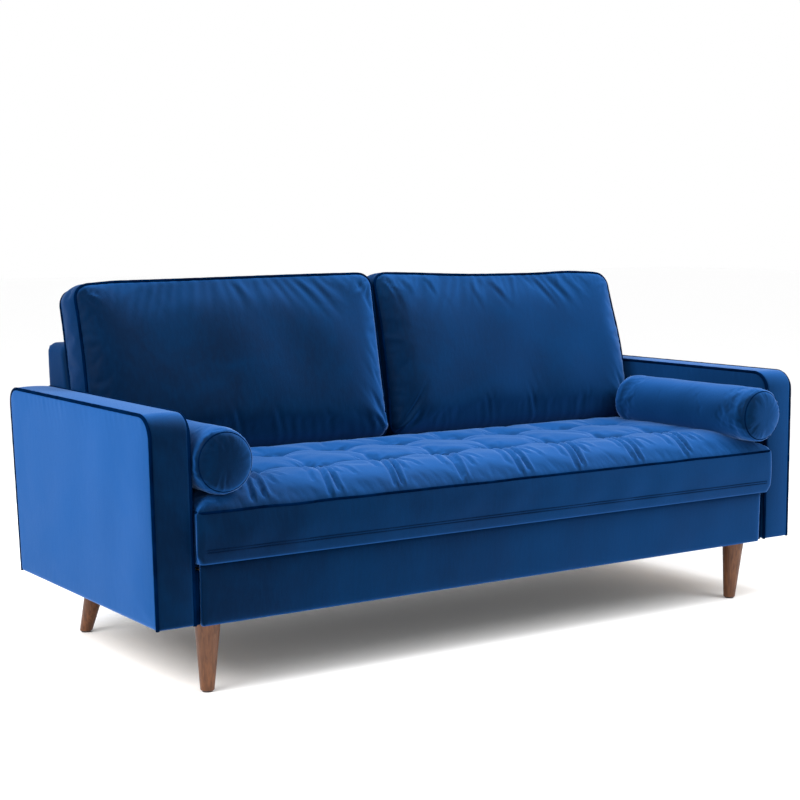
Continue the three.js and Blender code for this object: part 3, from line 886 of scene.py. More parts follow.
def puff(inset: Array, reach: float) -> Array:
    """Height of a filled panel over its seam: a quarter of an ellipse that is flat after a reach."""
    share = np.clip(inset / reach, 0, 1)
    return np.sqrt(1 - (1 - share) ** 2)


@dataclass(frozen=True)
class Filling:
    """How a cover is filled, as cloth under pressure.

    Attributes:
        pressure: Pressure of the filling.
        slack: Share by which the cloth is larger than the shape it starts from.
        cap: The furthest that a point may move, in metres; longer moves are eased down to it.
        frames: How many frames the filling takes.
    """

    pressure: float
    slack: float
    cap: float
    frames: int


CLOTH = {
    "quality": 5, "mass": 0.3, "tension_stiffness": 20, "compression_stiffness": 20, "shear_stiffness": 8,
    "bending_stiffness": 0.4, "use_pressure": True,
}


def vertex_places(mesh: bpy.types.Mesh) -> Array:
    """Positions of a mesh's vertices, one row each.

    Args:
        mesh: The mesh.

    Returns:
        The positions, in metres.
    """
    places = np.empty(len(mesh.vertices) * 3, np.float32)
    mesh.vertices.foreach_get("co", places)
    return places.reshape(-1, 3).astype(float)


def blow_up(piece: bpy.types.Object, held: Array, filling: Filling) -> None:
    """Fills a closed cover as cloth under pressure and keeps the shape that it takes.

    Args:
        piece: The cover; its mesh is changed.
        held: Which vertices are sewn down and stay where they are.
        filling: How it is filled.
    """
    mesh = piece.data
    start = vertex_places(mesh)
    group = piece.vertex_groups.new(name="held")
    group.add(np.flatnonzero(held).tolist(), 1.0, "REPLACE")
    cloth = piece.modifiers.new("cloth", "CLOTH")
    for label, value in CLOTH.items():
        setattr(cloth.settings, label, value)
    cloth.settings.uniform_pressure_force = filling.pressure
    cloth.settings.shrink_min = -filling.slack
    cloth.settings.vertex_group_mass = group.name
    cloth.settings.effector_weights.gravity = 0
    scene = bpy.context.scene
    for number in range(1, filling.frames + 1):
        scene.frame_set(number)
    move = vertex_places(piece.evaluated_get(bpy.context.evaluated_depsgraph_get()).data) - start
    size = np.maximum(np.linalg.norm(move, axis=1), TINY)[:, None]
    move *= filling.cap * np.tanh(size / filling.cap) / size
    piece.modifiers.remove(cloth)
    piece.vertex_groups.remove(group)
    mesh.vertices.foreach_set("co", (start + move).astype(np.float32).ravel())
    mesh.update()
    scene.frame_set(1)
    LOG.info("%s filled, moved by up to %.1f mm", piece.name, 1000 * np.linalg.norm(move, axis=1).max())


def settle(piece: bpy.types.Object, body: str, nodes: tuple[str, ...] = ()) -> None:
    """Puts a finished piece on its body and says what it stands for.

    Args:
        piece: The piece.
        body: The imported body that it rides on.
        nodes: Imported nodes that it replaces.
    """
    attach(piece, body)
    if nodes:
        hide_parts(*nodes)
    LOG.info("%s: %d faces on %s", piece.name, len(piece.data.polygons), body)


def welt_along(name: str, path: Array, radius: float, closed: bool, body: str) -> bpy.types.Object:
    """Makes a covered piping cord along a seam.

    Args:
        name: Name of the piece.
        path: Points along the seam.
        radius: Radius of the cord.
        closed: Whether it goes all the way round.
        body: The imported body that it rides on.

    Returns:
        The welt.
    """
    even = respaced(smooth_path(path, closed), SEAM_STEP, closed)
    step = np.arange(len(even))
    lumps = 1 + 0.05 * np.sin(step * 0.9) * np.sin(step * 0.37)
    welt = tube(even, radius * lumps, closed).make(name)
    # The welt's darker velvet is partly painted shade along the seam.
    WELT_WITH_PAINTED_SHADE.dress(welt)
    settle(welt, body)
    return welt


# ---------------------------------------------------------------- arms
@dataclass
class Arm:
    """One box arm: a padded block with a bulging outer panel and a welt round both panels.

    Attributes:
        place: left or right.
        front_radius: Radius of the upper front corner.
        rear_radius: Radius of the upper rear corner.
        toe_radius: Radius of the lower front corner.
        heel_radius: Radius of the lower rear corner.
        edge: Radius of the edges under the welts.
        front_lean: How far the front edge leans back over its height.
        rear_lean: How far the rear edge leans back over its height.
        welt_radius: Radius of the piping.
        panel_bulge: How far the middle of each panel stands out.
        wall_bulge: How far the front, top and rear stand out between the welts.
        cell: Spacing of the mesh.
    """

    place: str
    front_radius: float = 0.048
    rear_radius: float = 0.038
    toe_radius: float = 0.006
    heel_radius: float = 0.010
    edge: float = 0.003
    front_lean: float = 0.012
    rear_lean: float = 0.028
    welt_radius: float = 0.0042
    panel_bulge: float = 0.003
    wall_bulge: float = 0.0025
    cell: float = 0.0052

    def build(self) -> None:
        """Makes the padded block and its two welts."""
        node = f"arm_cover_{self.place}"
        low, high = lower(node), upper(node)
        self.low, self.high = low, high
        self.depth = (high - low)[1] - self.rear_lean
        self.height = (high - low)[2]
        tuck = self.welt_radius * 0.75
        half = (self.depth / 2 - tuck, self.height / 2 - tuck / 2, (high - low)[0] / 2 - tuck)
        block = SoftBox(half, self.front_radius - tuck, self.edge, self.cell)
        y, z = self._reshape(block, half, tuck)
        x = block.w + np.sign(block.skin.c) * np.where(block.on_face, self._panel(block), 0.0)
        middle = (low + high)[0] / 2
        points = np.stack([middle + x, y, z], axis=1)
        # the block's own axes are depth, height and width: Y, Z and X in the same turning order
        arm = Surface(points, block.skin.faces).make(f"arm_{self.place}_upholstery")
        VELVET.dress(arm)
        settle(arm, "frame", (node,))
        for side, label in ((-1, "left"), (1, "right")):
            edge = middle + side * ((high - low)[0] / 2 - self.welt_radius)
            path = self._welt_path(edge)
            welt_along(f"arm_{self.place}_welt_{label}", path, self.welt_radius, False, "frame")

    def _corner(self, u: Array, v: Array) -> Array:
        """Corner radius for each point, from the corner that it lies nearest to.

        Args:
            u: Place from front to rear, below 0 in the front half.
            v: Place from foot to top, above 0 in the upper half.

        Returns:
            The radius.
        """
        top = np.where(u < 0, self.front_radius, self.rear_radius)
        foot = np.where(u < 0, self.toe_radius, self.heel_radius)
        return np.where(v > 0, top, foot)

    def _lean(self, u: Array, z: Array) -> Array:
        """Moves a depth measured on the upright block onto the arm's leaning front and rear edges.

        Args:
            u: Depth from the middle of the upright block.
            z: Height of each point.

        Returns:
            Y of each point.
        """
        share = (z - self.low[2]) / self.height
        front = self.low[1] + self.front_lean * share
        rear = self.low[1] + self.depth + self.rear_lean * share
        return front + (u / self.depth + 0.5) * (rear - front)

    def _reshape(self, block: SoftBox, half: tuple, tuck: float) -> tuple[Array, Array]:
        """Gives each corner its own radius and leans the edges.

        Args:
            block: The softened block.
            half: Half its sides.
            tuck: How far it stays inside the welts.

        Returns:
            Y and Z of each point.
        """
        a, b = block.skin.a, block.skin.b
        radius = np.maximum(self._corner(a, b) - tuck, self.edge)
        u, v = rounded(a, b, half[:2], radius)
        even_u, even_v = rounded(a, b, half[:2], block.corner)
        u, v = u + (block.u - even_u), v + (block.v - even_v)
        swell = self.wall_bulge * block.wall_share()
        u, v = u + block.nu * swell, v + np.where(block.v > 0, block.nv * swell, 0)
        z = self.low[2] + tuck * 0.2 + half[1] + v
        return self._lean(u, z), z

    def _panel(self, block: SoftBox) -> Array:
        """How far each point of a side panel stands out: a low bulge, slow dents and puckers under the welt.

        Args:
            block: The softened block.

        Returns:
            The distance out.
        """
        dent_seed, pucker_seed = (11, 5) if self.place == "left" else (17, 8)
        bulge = self.panel_bulge * puff(block.inset, reach=0.07)
        dents = 0.0008 * ripples(block.u, block.v, dent_seed, size=0.16)
        puckers = gathers(block.u, block.inset, size=0.016, reach=0.022, height=0.0009, seed=pucker_seed)
        under_top = smoothstep(0.1, 0.8, block.nv)
        return bulge + (dents + puckers * (0.35 + 0.65 * under_top)) * smoothstep(0.0, 0.02, block.inset)

    def _welt_path(self, x: float) -> Array:
        """The seam from the front foot, up and over the top and down to the rear foot.

        Args:
            x: How far across it runs.

        Returns:
            Points along it.
        """
        r = self.welt_radius
        half_u, half_v = self.depth / 2 - r, self.height / 2 - r / 2
        front, rear = self.front_radius, self.rear_radius
        quarter = np.linspace(90, 0, 14)
        flat = np.vstack([
            [[-half_u, -half_v]],
            arc((-half_u + front, half_v - front), front, np.radians(quarter + 90)),
            arc((half_u - rear, half_v - rear), rear, np.radians(quarter)),
            [[half_u, -half_v]]])
        z = self.low[2] + self.height / 2 + flat[:, 1] - r / 2
        line = np.stack([np.full(len(flat), x), self._lean(flat[:, 0], z), z], axis=1)
        return respaced(line, SEAM_STEP, closed=False)


# ---------------------------------------------------------------- back and base
@dataclass
class Back:
    """The upholstered back behind the cushions, with a skirt that covers the rear rail.

    Attributes:
        corner: Radius of its upper corners, seen from the front.
        edge: Radius of its edges.
        lean: Slope of its front face, in degrees.
        rear_slope: How far the rear leans forwards towards its foot, as a share of the height.
        skirt: Thickness of the panel below the deck.
        welt_inset: Distance from its outline to the middle of its welt.
        welt_radius: Radius of the welt.
        cell: Spacing of the mesh.
        depth_cells: How many cells there are from front to rear.
    """

    corner: float = 0.024
    edge: float = 0.014
    lean: float = 11.5
    rear_slope: float = 0.03
    skirt: float = 0.0155
    welt_inset: float = 0.006
    welt_radius: float = 0.0038
    cell: float = 0.009
    depth_cells: int = 14

    def build(self) -> None:
        """Makes the back, its skirt and the welt round its rear panel.

        Its outline is a rectangle with round upper corners. Its rear is nearly upright and its front leans, so
        the points between them share out the thickness at their height. The edges are rounded as a SoftBox's
        are, and both faces swell a little.
        """
        low, high = lower("back_cover"), upper("back_cover")
        deck = upper("seat_deck")[2] + 0.0005
        half = ((high - low)[0] / 2, (high[2] - deck) / 2)
        skin = Lattice((2 * int(half[0] / self.cell), 2 * int(half[1] / self.cell), self.depth_cells))
        a, b, c = skin.a, skin.b, skin.c
        x, v = rounded(a, b, half, np.where(b > 0, self.corner, 0.004))
        z = deck + half[1] + v
        rear = self._rear(high, z)
        front_foot = upper("seat_deck")[1] + 0.001
        thick = rear - (front_foot + (z - deck) * math.tan(math.radians(self.lean)))
        share = (c + 1) / 2
        y = rear - share * thick
        inset = np.minimum(half[0] - np.abs(x), np.maximum(half[1] - v, 0))
        pull, sink = self._soften(skin, inset, np.minimum(share, 1 - share) * thick)
        y = y + np.sign(c) * sink
        near = self.edge + 0.001
        x = x - np.sign(a) * pull * (np.abs(x) > half[0] - near)
        z = z - pull * (v > half[1] - near)
        swell = 0.002 * puff(np.maximum(inset - 0.01, 0), reach=0.08)
        swell = swell + 0.0008 * ripples(x, z, seed=31, size=0.2)
        y = y - np.where(np.abs(c) > ON_END, np.sign(c) * swell * smoothstep(0.01, 0.05, inset), 0)
        body = Surface(np.stack([x, y, z], axis=1), skin.faces)
        back = body.joined(self._skirt(low, high, deck)).make("back_upholstery")
        VELVET.dress(back)
        # Painted shade: the back's walls take the darker copy of the velvet.
        SHADED_VELVET_COPY.dress_faces(back, skin.walls())
        settle(back, "frame", ("back_cover",))
        self._welt(low, high)

    def _rear(self, high: Array, z: Array) -> Array:
        """Y of the rear face at each height."""
        return high[1] - (high[2] - z) * self.rear_slope

    def _soften(self, skin: Lattice, inset: Array, near_face: Array) -> tuple[Array, Array]:
        """Rounds the edges, by moves in from the outline and in from the faces.

        Args:
            skin: The back's lattice.
            inset: Distance of each point from the outline.
            near_face: Distance of each point from the nearer face.

        Returns:
            How far each point moves in from the outline, and in from its face.
        """
        r = self.edge
        wall = self._is_wall(skin)
        turn = np.clip(1 - np.where(wall, near_face, inset) / r, 0, 1) * math.pi / 4
        down, over = r * (1 - np.cos(turn)), r * (1 - np.sin(turn))
        pull = np.where(wall, down, np.maximum(over - inset, 0) * (turn > 0))
        sink = np.where(wall, np.where(turn > 0, over - near_face, 0), down)
        return pull, sink

    @staticmethod
    def _is_wall(skin: Lattice) -> Array:
        """Which points are on the sides and not on the front or rear face."""
        return (skin.rim() > ON_END) & (np.abs(skin.c) < ON_END)

    def _skirt(self, low: Array, high: Array, deck: float) -> Surface:
        """The panel from the deck down to the foot, behind the rear rail.

        Args:
            low: Lowest corner of the back's cover.
            high: Highest corner of it.
            deck: Height of the deck.

        Returns:
            The panel.
        """
        half = ((high - low)[0] / 2 - 0.001, (deck - low[2]) / 2 - 0.0004, self.skirt / 2)
        panel = SoftBox(half, corner=0.004, edge=0.003, cell=0.012)
        z = low[2] + half[1] + panel.v + 0.0003
        y = self._rear(high, z) - half[2] - panel.w
        return Surface(np.stack([panel.u, y, z], axis=1), panel.skin.faces)

    def _welt(self, low: Array, high: Array) -> None:
        """Runs a welt up one side of the rear panel, over the top and down the other.

        Args:
            low: Lowest corner of the back's cover.
            high: Highest corner of it.
        """
        half = (high - low)[0] / 2 - self.welt_inset
        foot, level = low[2] + self.welt_inset, high[2] - self.welt_inset - self.corner
        quarter = np.linspace(90, 0, 12)
        flat = np.vstack([
            [[-half, foot]],
            arc((-(half - self.corner), level), self.corner, np.radians(quarter + 90)),
            arc((half - self.corner, level), self.corner, np.radians(quarter)),
            [[half, foot]]])
        path = np.stack([flat[:, 0], self._rear(high, flat[:, 1]) - 0.0055, flat[:, 1]], axis=1)
        welt_along("back_welt", respaced(path, SEAM_STEP, closed=False), self.welt_radius, False, "frame")


@dataclass
class FrontRail:
    """The velvet panel over the front rail and the lip that lies under the bench.

    Attributes:
        thickness: Thickness of the padded front panel.
        lip: Thickness of the lip on the deck.
        return_depth: How far the strips in the slots reach from front to rear.
        cell: Spacing of the mesh.
    """

    thickness: float = 0.0155
    lip: float = 0.0108
    return_depth: float = 0.0356
    cell: float = 0.007

    def build(self) -> None:
        """Makes the panel and its lip as one piece."""
        low, high = lower("front_rail_cover"), upper("front_rail_cover")
        half = ((high - low)[0] / 2, (high - low)[2] / 2 - 0.0002, self.thickness / 2)
        panel = SoftBox(half, corner=0.005, edge=0.006, cell=self.cell)
        bulge = 0.0012 * puff(np.maximum(panel.inset - 0.004, 0), reach=0.05)
        out = bulge + 0.0005 * ripples(panel.u, panel.v, seed=23, size=0.12)
        facing = np.where(panel.on_face & (panel.skin.c > 0), out * smoothstep(0, 0.02, panel.inset), 0)
        y = low[1] + half[2] - panel.w - facing
        z = (low + high)[2] / 2 + panel.v
        front = Surface(np.stack([panel.u, y, z], axis=1), panel.skin.faces)
        lip_half = ((high - low)[0] / 2, ((high - low)[1] - self.thickness - 0.001) / 2, self.lip / 2)
        lip = SoftBox(lip_half, corner=0.004, edge=0.002, cell=0.012)
        y = high[1] - lip_half[1] + lip.v
        z = high[2] - lip_half[2] + lip.w
        top = Surface(np.stack([lip.u, y, z], axis=1), lip.skin.faces)
        rail = front.joined(top).make("front_rail_upholstery")
        VELVET.dress(rail)
        settle(rail, "frame", ("front_rail_cover",))
        for side, label in ((-1, "left"), (1, "right")):
            self._return(side, label, high[0])

    def _return(self, side: int, label: str, rail_end: float) -> None:
        """Covers the end of the end rail, deep in the slot between the rail and the arm.

        Args:
            side: -1 on the left and 1 on the right.
            label: left or right.
            rail_end: Half the length of the front rail's cover.
        """
        wood, wood_top = lower(f"end_rail_{label}"), upper(f"end_rail_{label}")
        arm_face = -wood[0] if side < 0 else wood_top[0]
        half = ((arm_face - rail_end) / 2 - 0.0003, (wood_top[2] - wood[2]) / 2, self.return_depth / 2)
        block = SoftBox(half, corner=0.002, edge=0.0015, cell=0.004)
        x = side * (rail_end + arm_face) / 2 + block.u
        y = wood[1] - 0.0005 - half[2] - block.w
        z = wood[2] + half[1] + block.v
        strip = Surface(np.stack([x, y, z], axis=1), block.skin.faces).make(f"rail_return_{label}")
        # Painted shade: the strip takes the darker welt velvet, deep in the slot.
        WELT_WITH_PAINTED_SHADE.dress(strip)
        settle(strip, "frame")


@dataclass
class Leg:
    """A turned, tapered and splayed wooden leg.

    Attributes:
        place: Which corner it stands at.
        top_radius: Radius at the top.
        foot_radius: Radius at the foot.
        soft: Height over which each rim is rounded off.
        sides: How many flats its circle has.
    """

    place: str
    top_radius: float = 0.030
    foot_radius: float = 0.016
    soft: float = 0.0025
    sides: int = 64

    def build(self) -> None:
        """Makes the leg from level circles whose middle slides from the foot to the top.

        The radius grows in a straight line with height, and both rims are rounded off over a few millimetres.
        """
        node = f"leg_{self.place}"
        low, high = lower(node), upper(node)
        foot = self._centre(node, low[2])
        top = self._centre(node, high[2])
        soft = self.soft
        bevel = np.radians(np.linspace(0, 90, 5))
        heights = np.concatenate([
            low[2] + soft * (1 - np.cos(bevel)), np.linspace(low[2] + 2 * soft, high[2] - 2 * soft, 22),
            high[2] - soft * (1 - np.cos(bevel[::-1]))])
        share = (heights - low[2]) / (high - low)[2]
        radius = self.foot_radius + (self.top_radius - self.foot_radius) * share
        radius[:len(bevel)] -= soft * (1 - np.sin(bevel))
        radius[-len(bevel):] -= 0.4 * soft * (1 - np.sin(bevel[::-1]))
        centre = foot[None, :] + (top - foot)[None, :] * share[:, None]
        turn = np.linspace(0, 2 * math.pi, self.sides, endpoint=False)
        x = centre[:, :1] + radius[:, None] * np.cos(turn)
        y = centre[:, 1:2] + radius[:, None] * np.sin(turn)
        z = np.broadcast_to(heights[:, None], x.shape)
        number = np.arange(x.size).reshape(x.shape)
        points = np.stack([x.ravel(), y.ravel(), z.ravel()], axis=1)
        points, faces = with_caps(points, ring_faces(number, closed=False), number)
        leg = Surface(points, faces).make(f"leg_{self.place}_turned")
        STAINED_WOOD.dress(leg)
        settle(leg, "frame", (node,))

    @staticmethod
    def _centre(node: str, height: float) -> Array:
        """Middle of a node's outline near a height, as X and Y.

        Args:
            node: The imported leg.
            height: The height, in metres.

        Returns:
            X and Y.
        """
        points = vertex_places(frame["nodes"][node].data)
        level = points[np.abs(points[:, 2] - height) < 0.0005][:, :2]
        return (level.min(axis=0) + level.max(axis=0)) / 2


# ---------------------------------------------------------------- cushions
@dataclass
class Bench:
    """The tufted bench cushion.

    Attributes:
        corner: Radius of its corners, seen from above.
        boxing: Height of its upright sides.
        rise: Height of the filled top over its welt.
        reach: Distance from the seam at which the top is at its full height.
        columns: Tufts along each of the two rows.
        pitch: Spacing of the columns.
        row_front: Distance from the front of the bench to the first row of tufts.
        row_gap: Distance between the two rows.
        tuft_depth: How deep a tuft is pulled.
        stitch_height: Height of the double stitching over the foot of the boxing.
        stitch_pitch: Distance from one stitch to the next.
        front_swell: How far the front of the boxing stands out.
        nose: How far the front corners spread past the arms' inner faces.
        welt_radius: Radius of the welt.
        cell: Spacing of the mesh.
        filling: How its top is filled.
    """

    corner: float = 0.016
    boxing: float = 0.115
    rise: float = 0.050
    reach: float = 0.115
    columns: int = 8
    pitch: float = 0.187
    row_front: float = 0.215
    row_gap: float = 0.215
    tuft_depth: float = 0.031
    stitch_height: float = 0.027
    stitch_pitch: float = 0.0066
    front_swell: float = 0.006
    nose: float = 0.013
    welt_radius: float = 0.0032
    cell: float = 0.0054
    filling: Filling = Filling(pressure=1.6, slack=0.009, cap=0.005, frames=12)

    # each fold before a tuft: where it begins across and in front of the tuft, where it ends across, its depth
    FANS: ClassVar[tuple] = (
        (-0.008, 0.022, -0.066, 1.0), (-0.026, 0.028, -0.090, 0.95), (0.010, 0.030, -0.035, 0.5),
        (-0.050, 0.020, -0.125, 0.45), (0.030, 0.030, 0.005, 0.35), (-0.020, 0.050, -0.078, 0.45))

    def build(self) -> None:
        """Makes the cushion, fills its top, and sews on its welt and stitching.

        Only the top moves when it is filled: the boxing, the underside and the tufts are held.
        """
        self.low, self.high = lower("seat_cushion"), upper("seat_cushion")
        size = self.high - self.low
        half = (size[0] / 2, size[1] / 2, self.boxing / 2)
        block = SoftBox(half, self.corner, edge=0.0025, cell=self.cell)
        self.middle = (self.low + self.high) / 2
        x = self.middle[0] + block.u
        y = self.middle[1] + block.v
        z = self.low[2] + self.boxing / 2 + block.w
        top = block.on_face & (block.skin.c > 0)
        z = z + np.where(top, self.top(x, y, block.inset), 0.0)
        wave = 0.0010 * ripples(block.u + block.v, z, seed=41, size=0.09)
        push = block.wall_share() * (self.front_swell + wave) * np.clip(-block.nv, 0, 1)
        y = y + block.nv * push
        x = self.spread(x, y, z)
        piece = Surface(np.stack([x, y, z], axis=1), block.skin.faces).make("bench_cushion")
        VELVET.dress(piece)
        held = block.on_wall | (block.skin.c < 0) | (top & (self._tuft_distance(x, y) < 0.014))
        blow_up(piece, held, self.filling)
        settle(piece, "seat_cushion", ("seat_cushion",))
        self._welt(size)
        self._stitches(size)

    def spread(self, x: Array, y: Array, z: Array) -> Array:
        """Lets the front corners, which are clear of the arms' faces, spread sideways.

        Args:
            x: X of each point.
            y: Y of each point.
            z: Z of each point.

        Returns:
            The new X.
        """
        clear = lower("arm_cover_left")[1] - 0.001
        free = 1 - smoothstep(clear - 0.011, clear, y)
        whole = smoothstep(-0.006, 0.024, z - self.low[2])
        return x + np.sign(x) * self.nose * free * whole * smoothstep(0.80, 0.88, np.abs(x))

    def rows(self) -> Array:
        """Y of the two rows of tufts."""
        return self.low[1] + self.row_front + np.array([0.0, self.row_gap])

    def tufts(self) -> Array:
        """Places of the tufts, as X and Y.

        Returns:
            A row for each tuft, the front row first.
        """
        across = (np.arange(self.columns) - (self.columns - 1) / 2) * self.pitch
        grid = np.meshgrid(across, self.rows())
        return np.stack([g.ravel() for g in grid], axis=1)

    def _tuft_distance(self, x: Array, y: Array) -> Array:
        """Distance of each point to the nearest tuft."""
        return np.min([np.hypot(x - tx, y - ty) for tx, ty in self.tufts()], axis=0)

    def top(self, x: Array, y: Array, inset: Array) -> Array:
        """Height of the filled top over its seam.

        A puffed panel, less a cone with a soft tip at each tuft, less valleys between neighbouring tufts,
        which are deepest at the tufts, plus the folds that run from the tufts to the front seam.

        Args:
            x: X of each point.
            y: Y of each point.
            inset: Distance of each point from the seam.

        Returns:
            The height.
        """
        slope = np.sin(math.pi / 2 * np.clip(inset / self.reach, 0, 1))
        height = self.rise * (0.22 * puff(inset, reach=0.03) + 0.78 * slope)
        near = self._tuft_distance(x, y)
        cone, saucer = np.exp(-((near / 0.020) ** 1.2)), np.exp(-((near / 0.05) ** 2))
        height = height - self.tuft_depth * cone - 0.007 * saucer
        height = height - self._valleys(x, y)
        height = height + self._folds(x, y) * smoothstep(0.001, 0.008, inset)
        along = np.where(np.abs(self.middle[1] - y) > np.abs(self.middle[0] - x) * 0.3, x, y)
        height = height + gathers(along, inset, size=0.016, reach=0.035, height=0.0010, seed=61)
        height = height + 0.0010 * ripples(x, y, seed=71, size=0.05) * smoothstep(0.03, 0.1, inset)
        return np.maximum(height, 0.0)

    def _valleys(self, x: Array, y: Array) -> Array:
        """Depth of the valleys that join neighbouring tufts along the rows and across them.

        Each valley is a steep bell curve across its line, and deepens with a power of the nearness to a tuft.

        Args:
            x: X of each point.
            y: Y of each point.

        Returns:
            The depth.
        """
        rows = self.rows()
        phase = np.abs((x / self.pitch + 0.5 + self.columns / 2) % 1.0 - 0.5) * 2.0
        depth = np.zeros_like(x)
        reach = (self.columns - 1) / 2 * self.pitch + 0.02
        inside = 1 - smoothstep(reach, reach + 0.05, np.abs(x))
        for row in rows:
            sway = row + 0.010 * (1 - phase)
            depth += np.exp(-(np.abs(y - sway) / 0.012) ** 1.3) * inside * (0.010 + 0.011 * phase ** 3)
        between = smoothstep(rows[0] - 0.01, rows[0] + 0.02, y)
        between = between * (1 - smoothstep(rows[1] - 0.02, rows[1] + 0.01, y))
        share = np.abs((y - rows.mean()) / (self.row_gap / 2))
        for tx in np.unique(self.tufts()[:, 0]):
            line = tx + 0.012 * (1 - share ** 2)
            depth += np.exp(-(np.abs(x - line) / 0.012) ** 1.3) * between * (0.007 + 0.010 * share ** 3)
        return depth

    def _folds(self, x: Array, y: Array) -> Array:
        """The folds that fan from the tufts to the front seam, and shorter ones behind and beside them.

        Args:
            x: X of each point.
            y: Y of each point.

        Returns:
            The change of height.
        """
        draw = np.random.default_rng(3)
        total = np.zeros_like(x)
        front_seam = self.low[1] + 0.010
        for index, (tx, ty) in enumerate(self.tufts()):
            if index < self.columns:
                reach = ty - front_seam
                for begin, step, end, deep in self.FANS:
                    if draw.uniform() > 0.55 + deep:
                        continue
                    first = np.array([
                        tx + begin + draw.uniform(-0.006, 0.006), ty - step - draw.uniform(0, 0.012)])
                    last = np.array([
                        tx + end + draw.uniform(-0.009, 0.009), ty - reach * draw.uniform(0.97, 1.03)])
                    if deep < 0.6:
                        last = first + (last - first) * draw.uniform(0.55, 0.85)
                    run = last - first
                    heading = math.degrees(math.atan2(run[1], run[0]))
                    total += crease(
                        x, y, tuple(first), heading, length=float(np.hypot(*run)), width=0.0050,
                        depth=0.0080 * deep, bend=draw.uniform(0.002, 0.010), tail=0.93, head=0.12)
            total += crease(x, y, (tx - 0.042, ty + 0.003), draw.uniform(-6, 6), length=0.085, width=0.0052,
                            depth=0.0095, bend=0.004, tail=0.75)
            for _ in range(5):
                turn = draw.uniform(15, 165) if index < self.columns else draw.uniform(0, 360)
                length = draw.uniform(0.035, 0.07)
                origin = (tx + 0.010 * math.cos(math.radians(turn)), ty + 0.010 * math.sin(math.radians(turn)))
                total += crease(x, y, origin, turn, length, width=0.0046,
                                depth=draw.uniform(0.0012, 0.0026), bend=draw.uniform(-0.006, 0.006))
        return total

    def _welt(self, size: Array) -> None:
        """Sews a welt round the top seam.

        Args:
            size: The bench's three sides.
        """
        radius = self.welt_radius
        flat = outline_path((size[0] / 2 - radius * 0.4, size[1] / 2 - radius * 0.4), self.corner, SEAM_STEP)
        x, y = self.middle[0] + flat[:, 0], self.middle[1] + flat[:, 1]
        z = self.low[2] + (self.boxing - 0.0005) + 0.0008 * ripples(x, y, seed=51, size=0.12)
        path = np.column_stack([self.spread(x, y, z), y, z])
        welt_along("bench_welt_top", path, radius, True, "seat_cushion")

    def _stitches(self, size: Array) -> None:
        """Sews two rows of thread stitches along the front of the boxing, low down.

        One stitch is a short cord that bows out in the middle, and it is repeated at every place.

        Args:
            size: The bench's three sides.
        """
        half_stitch, radius, row_gap = 0.0025, 0.0009, 0.006
        bow = np.array([[-half_stitch, 0, 0], [0, -0.0004, 0], [half_stitch, 0, 0]])
        stitch = tube(bow, radius, False, sides=6)
        flat = outline_path((size[0] / 2, size[1] / 2), self.corner, self.stitch_pitch)
        front = flat[flat[:, 1] < -size[1] / 2 + self.corner * 0.5]
        front = front[np.argsort(front[:, 0])]
        places = []
        for row in (0.0, row_gap):
            z = self.low[2] + self.stitch_height + row
            share = (z - self.low[2]) / self.boxing * 2 - 1
            swell = self.front_swell * (1 - share ** 2) + 0.0002
            y = self.middle[1] + front[:, 1] - swell
            places.append(np.column_stack([front[:, 0], y, np.full(len(front), z)]))
        thread = stitch.repeated(np.vstack(places)).make("bench_stitching")
        THREAD.dress(thread)
        settle(thread, "seat_cushion")


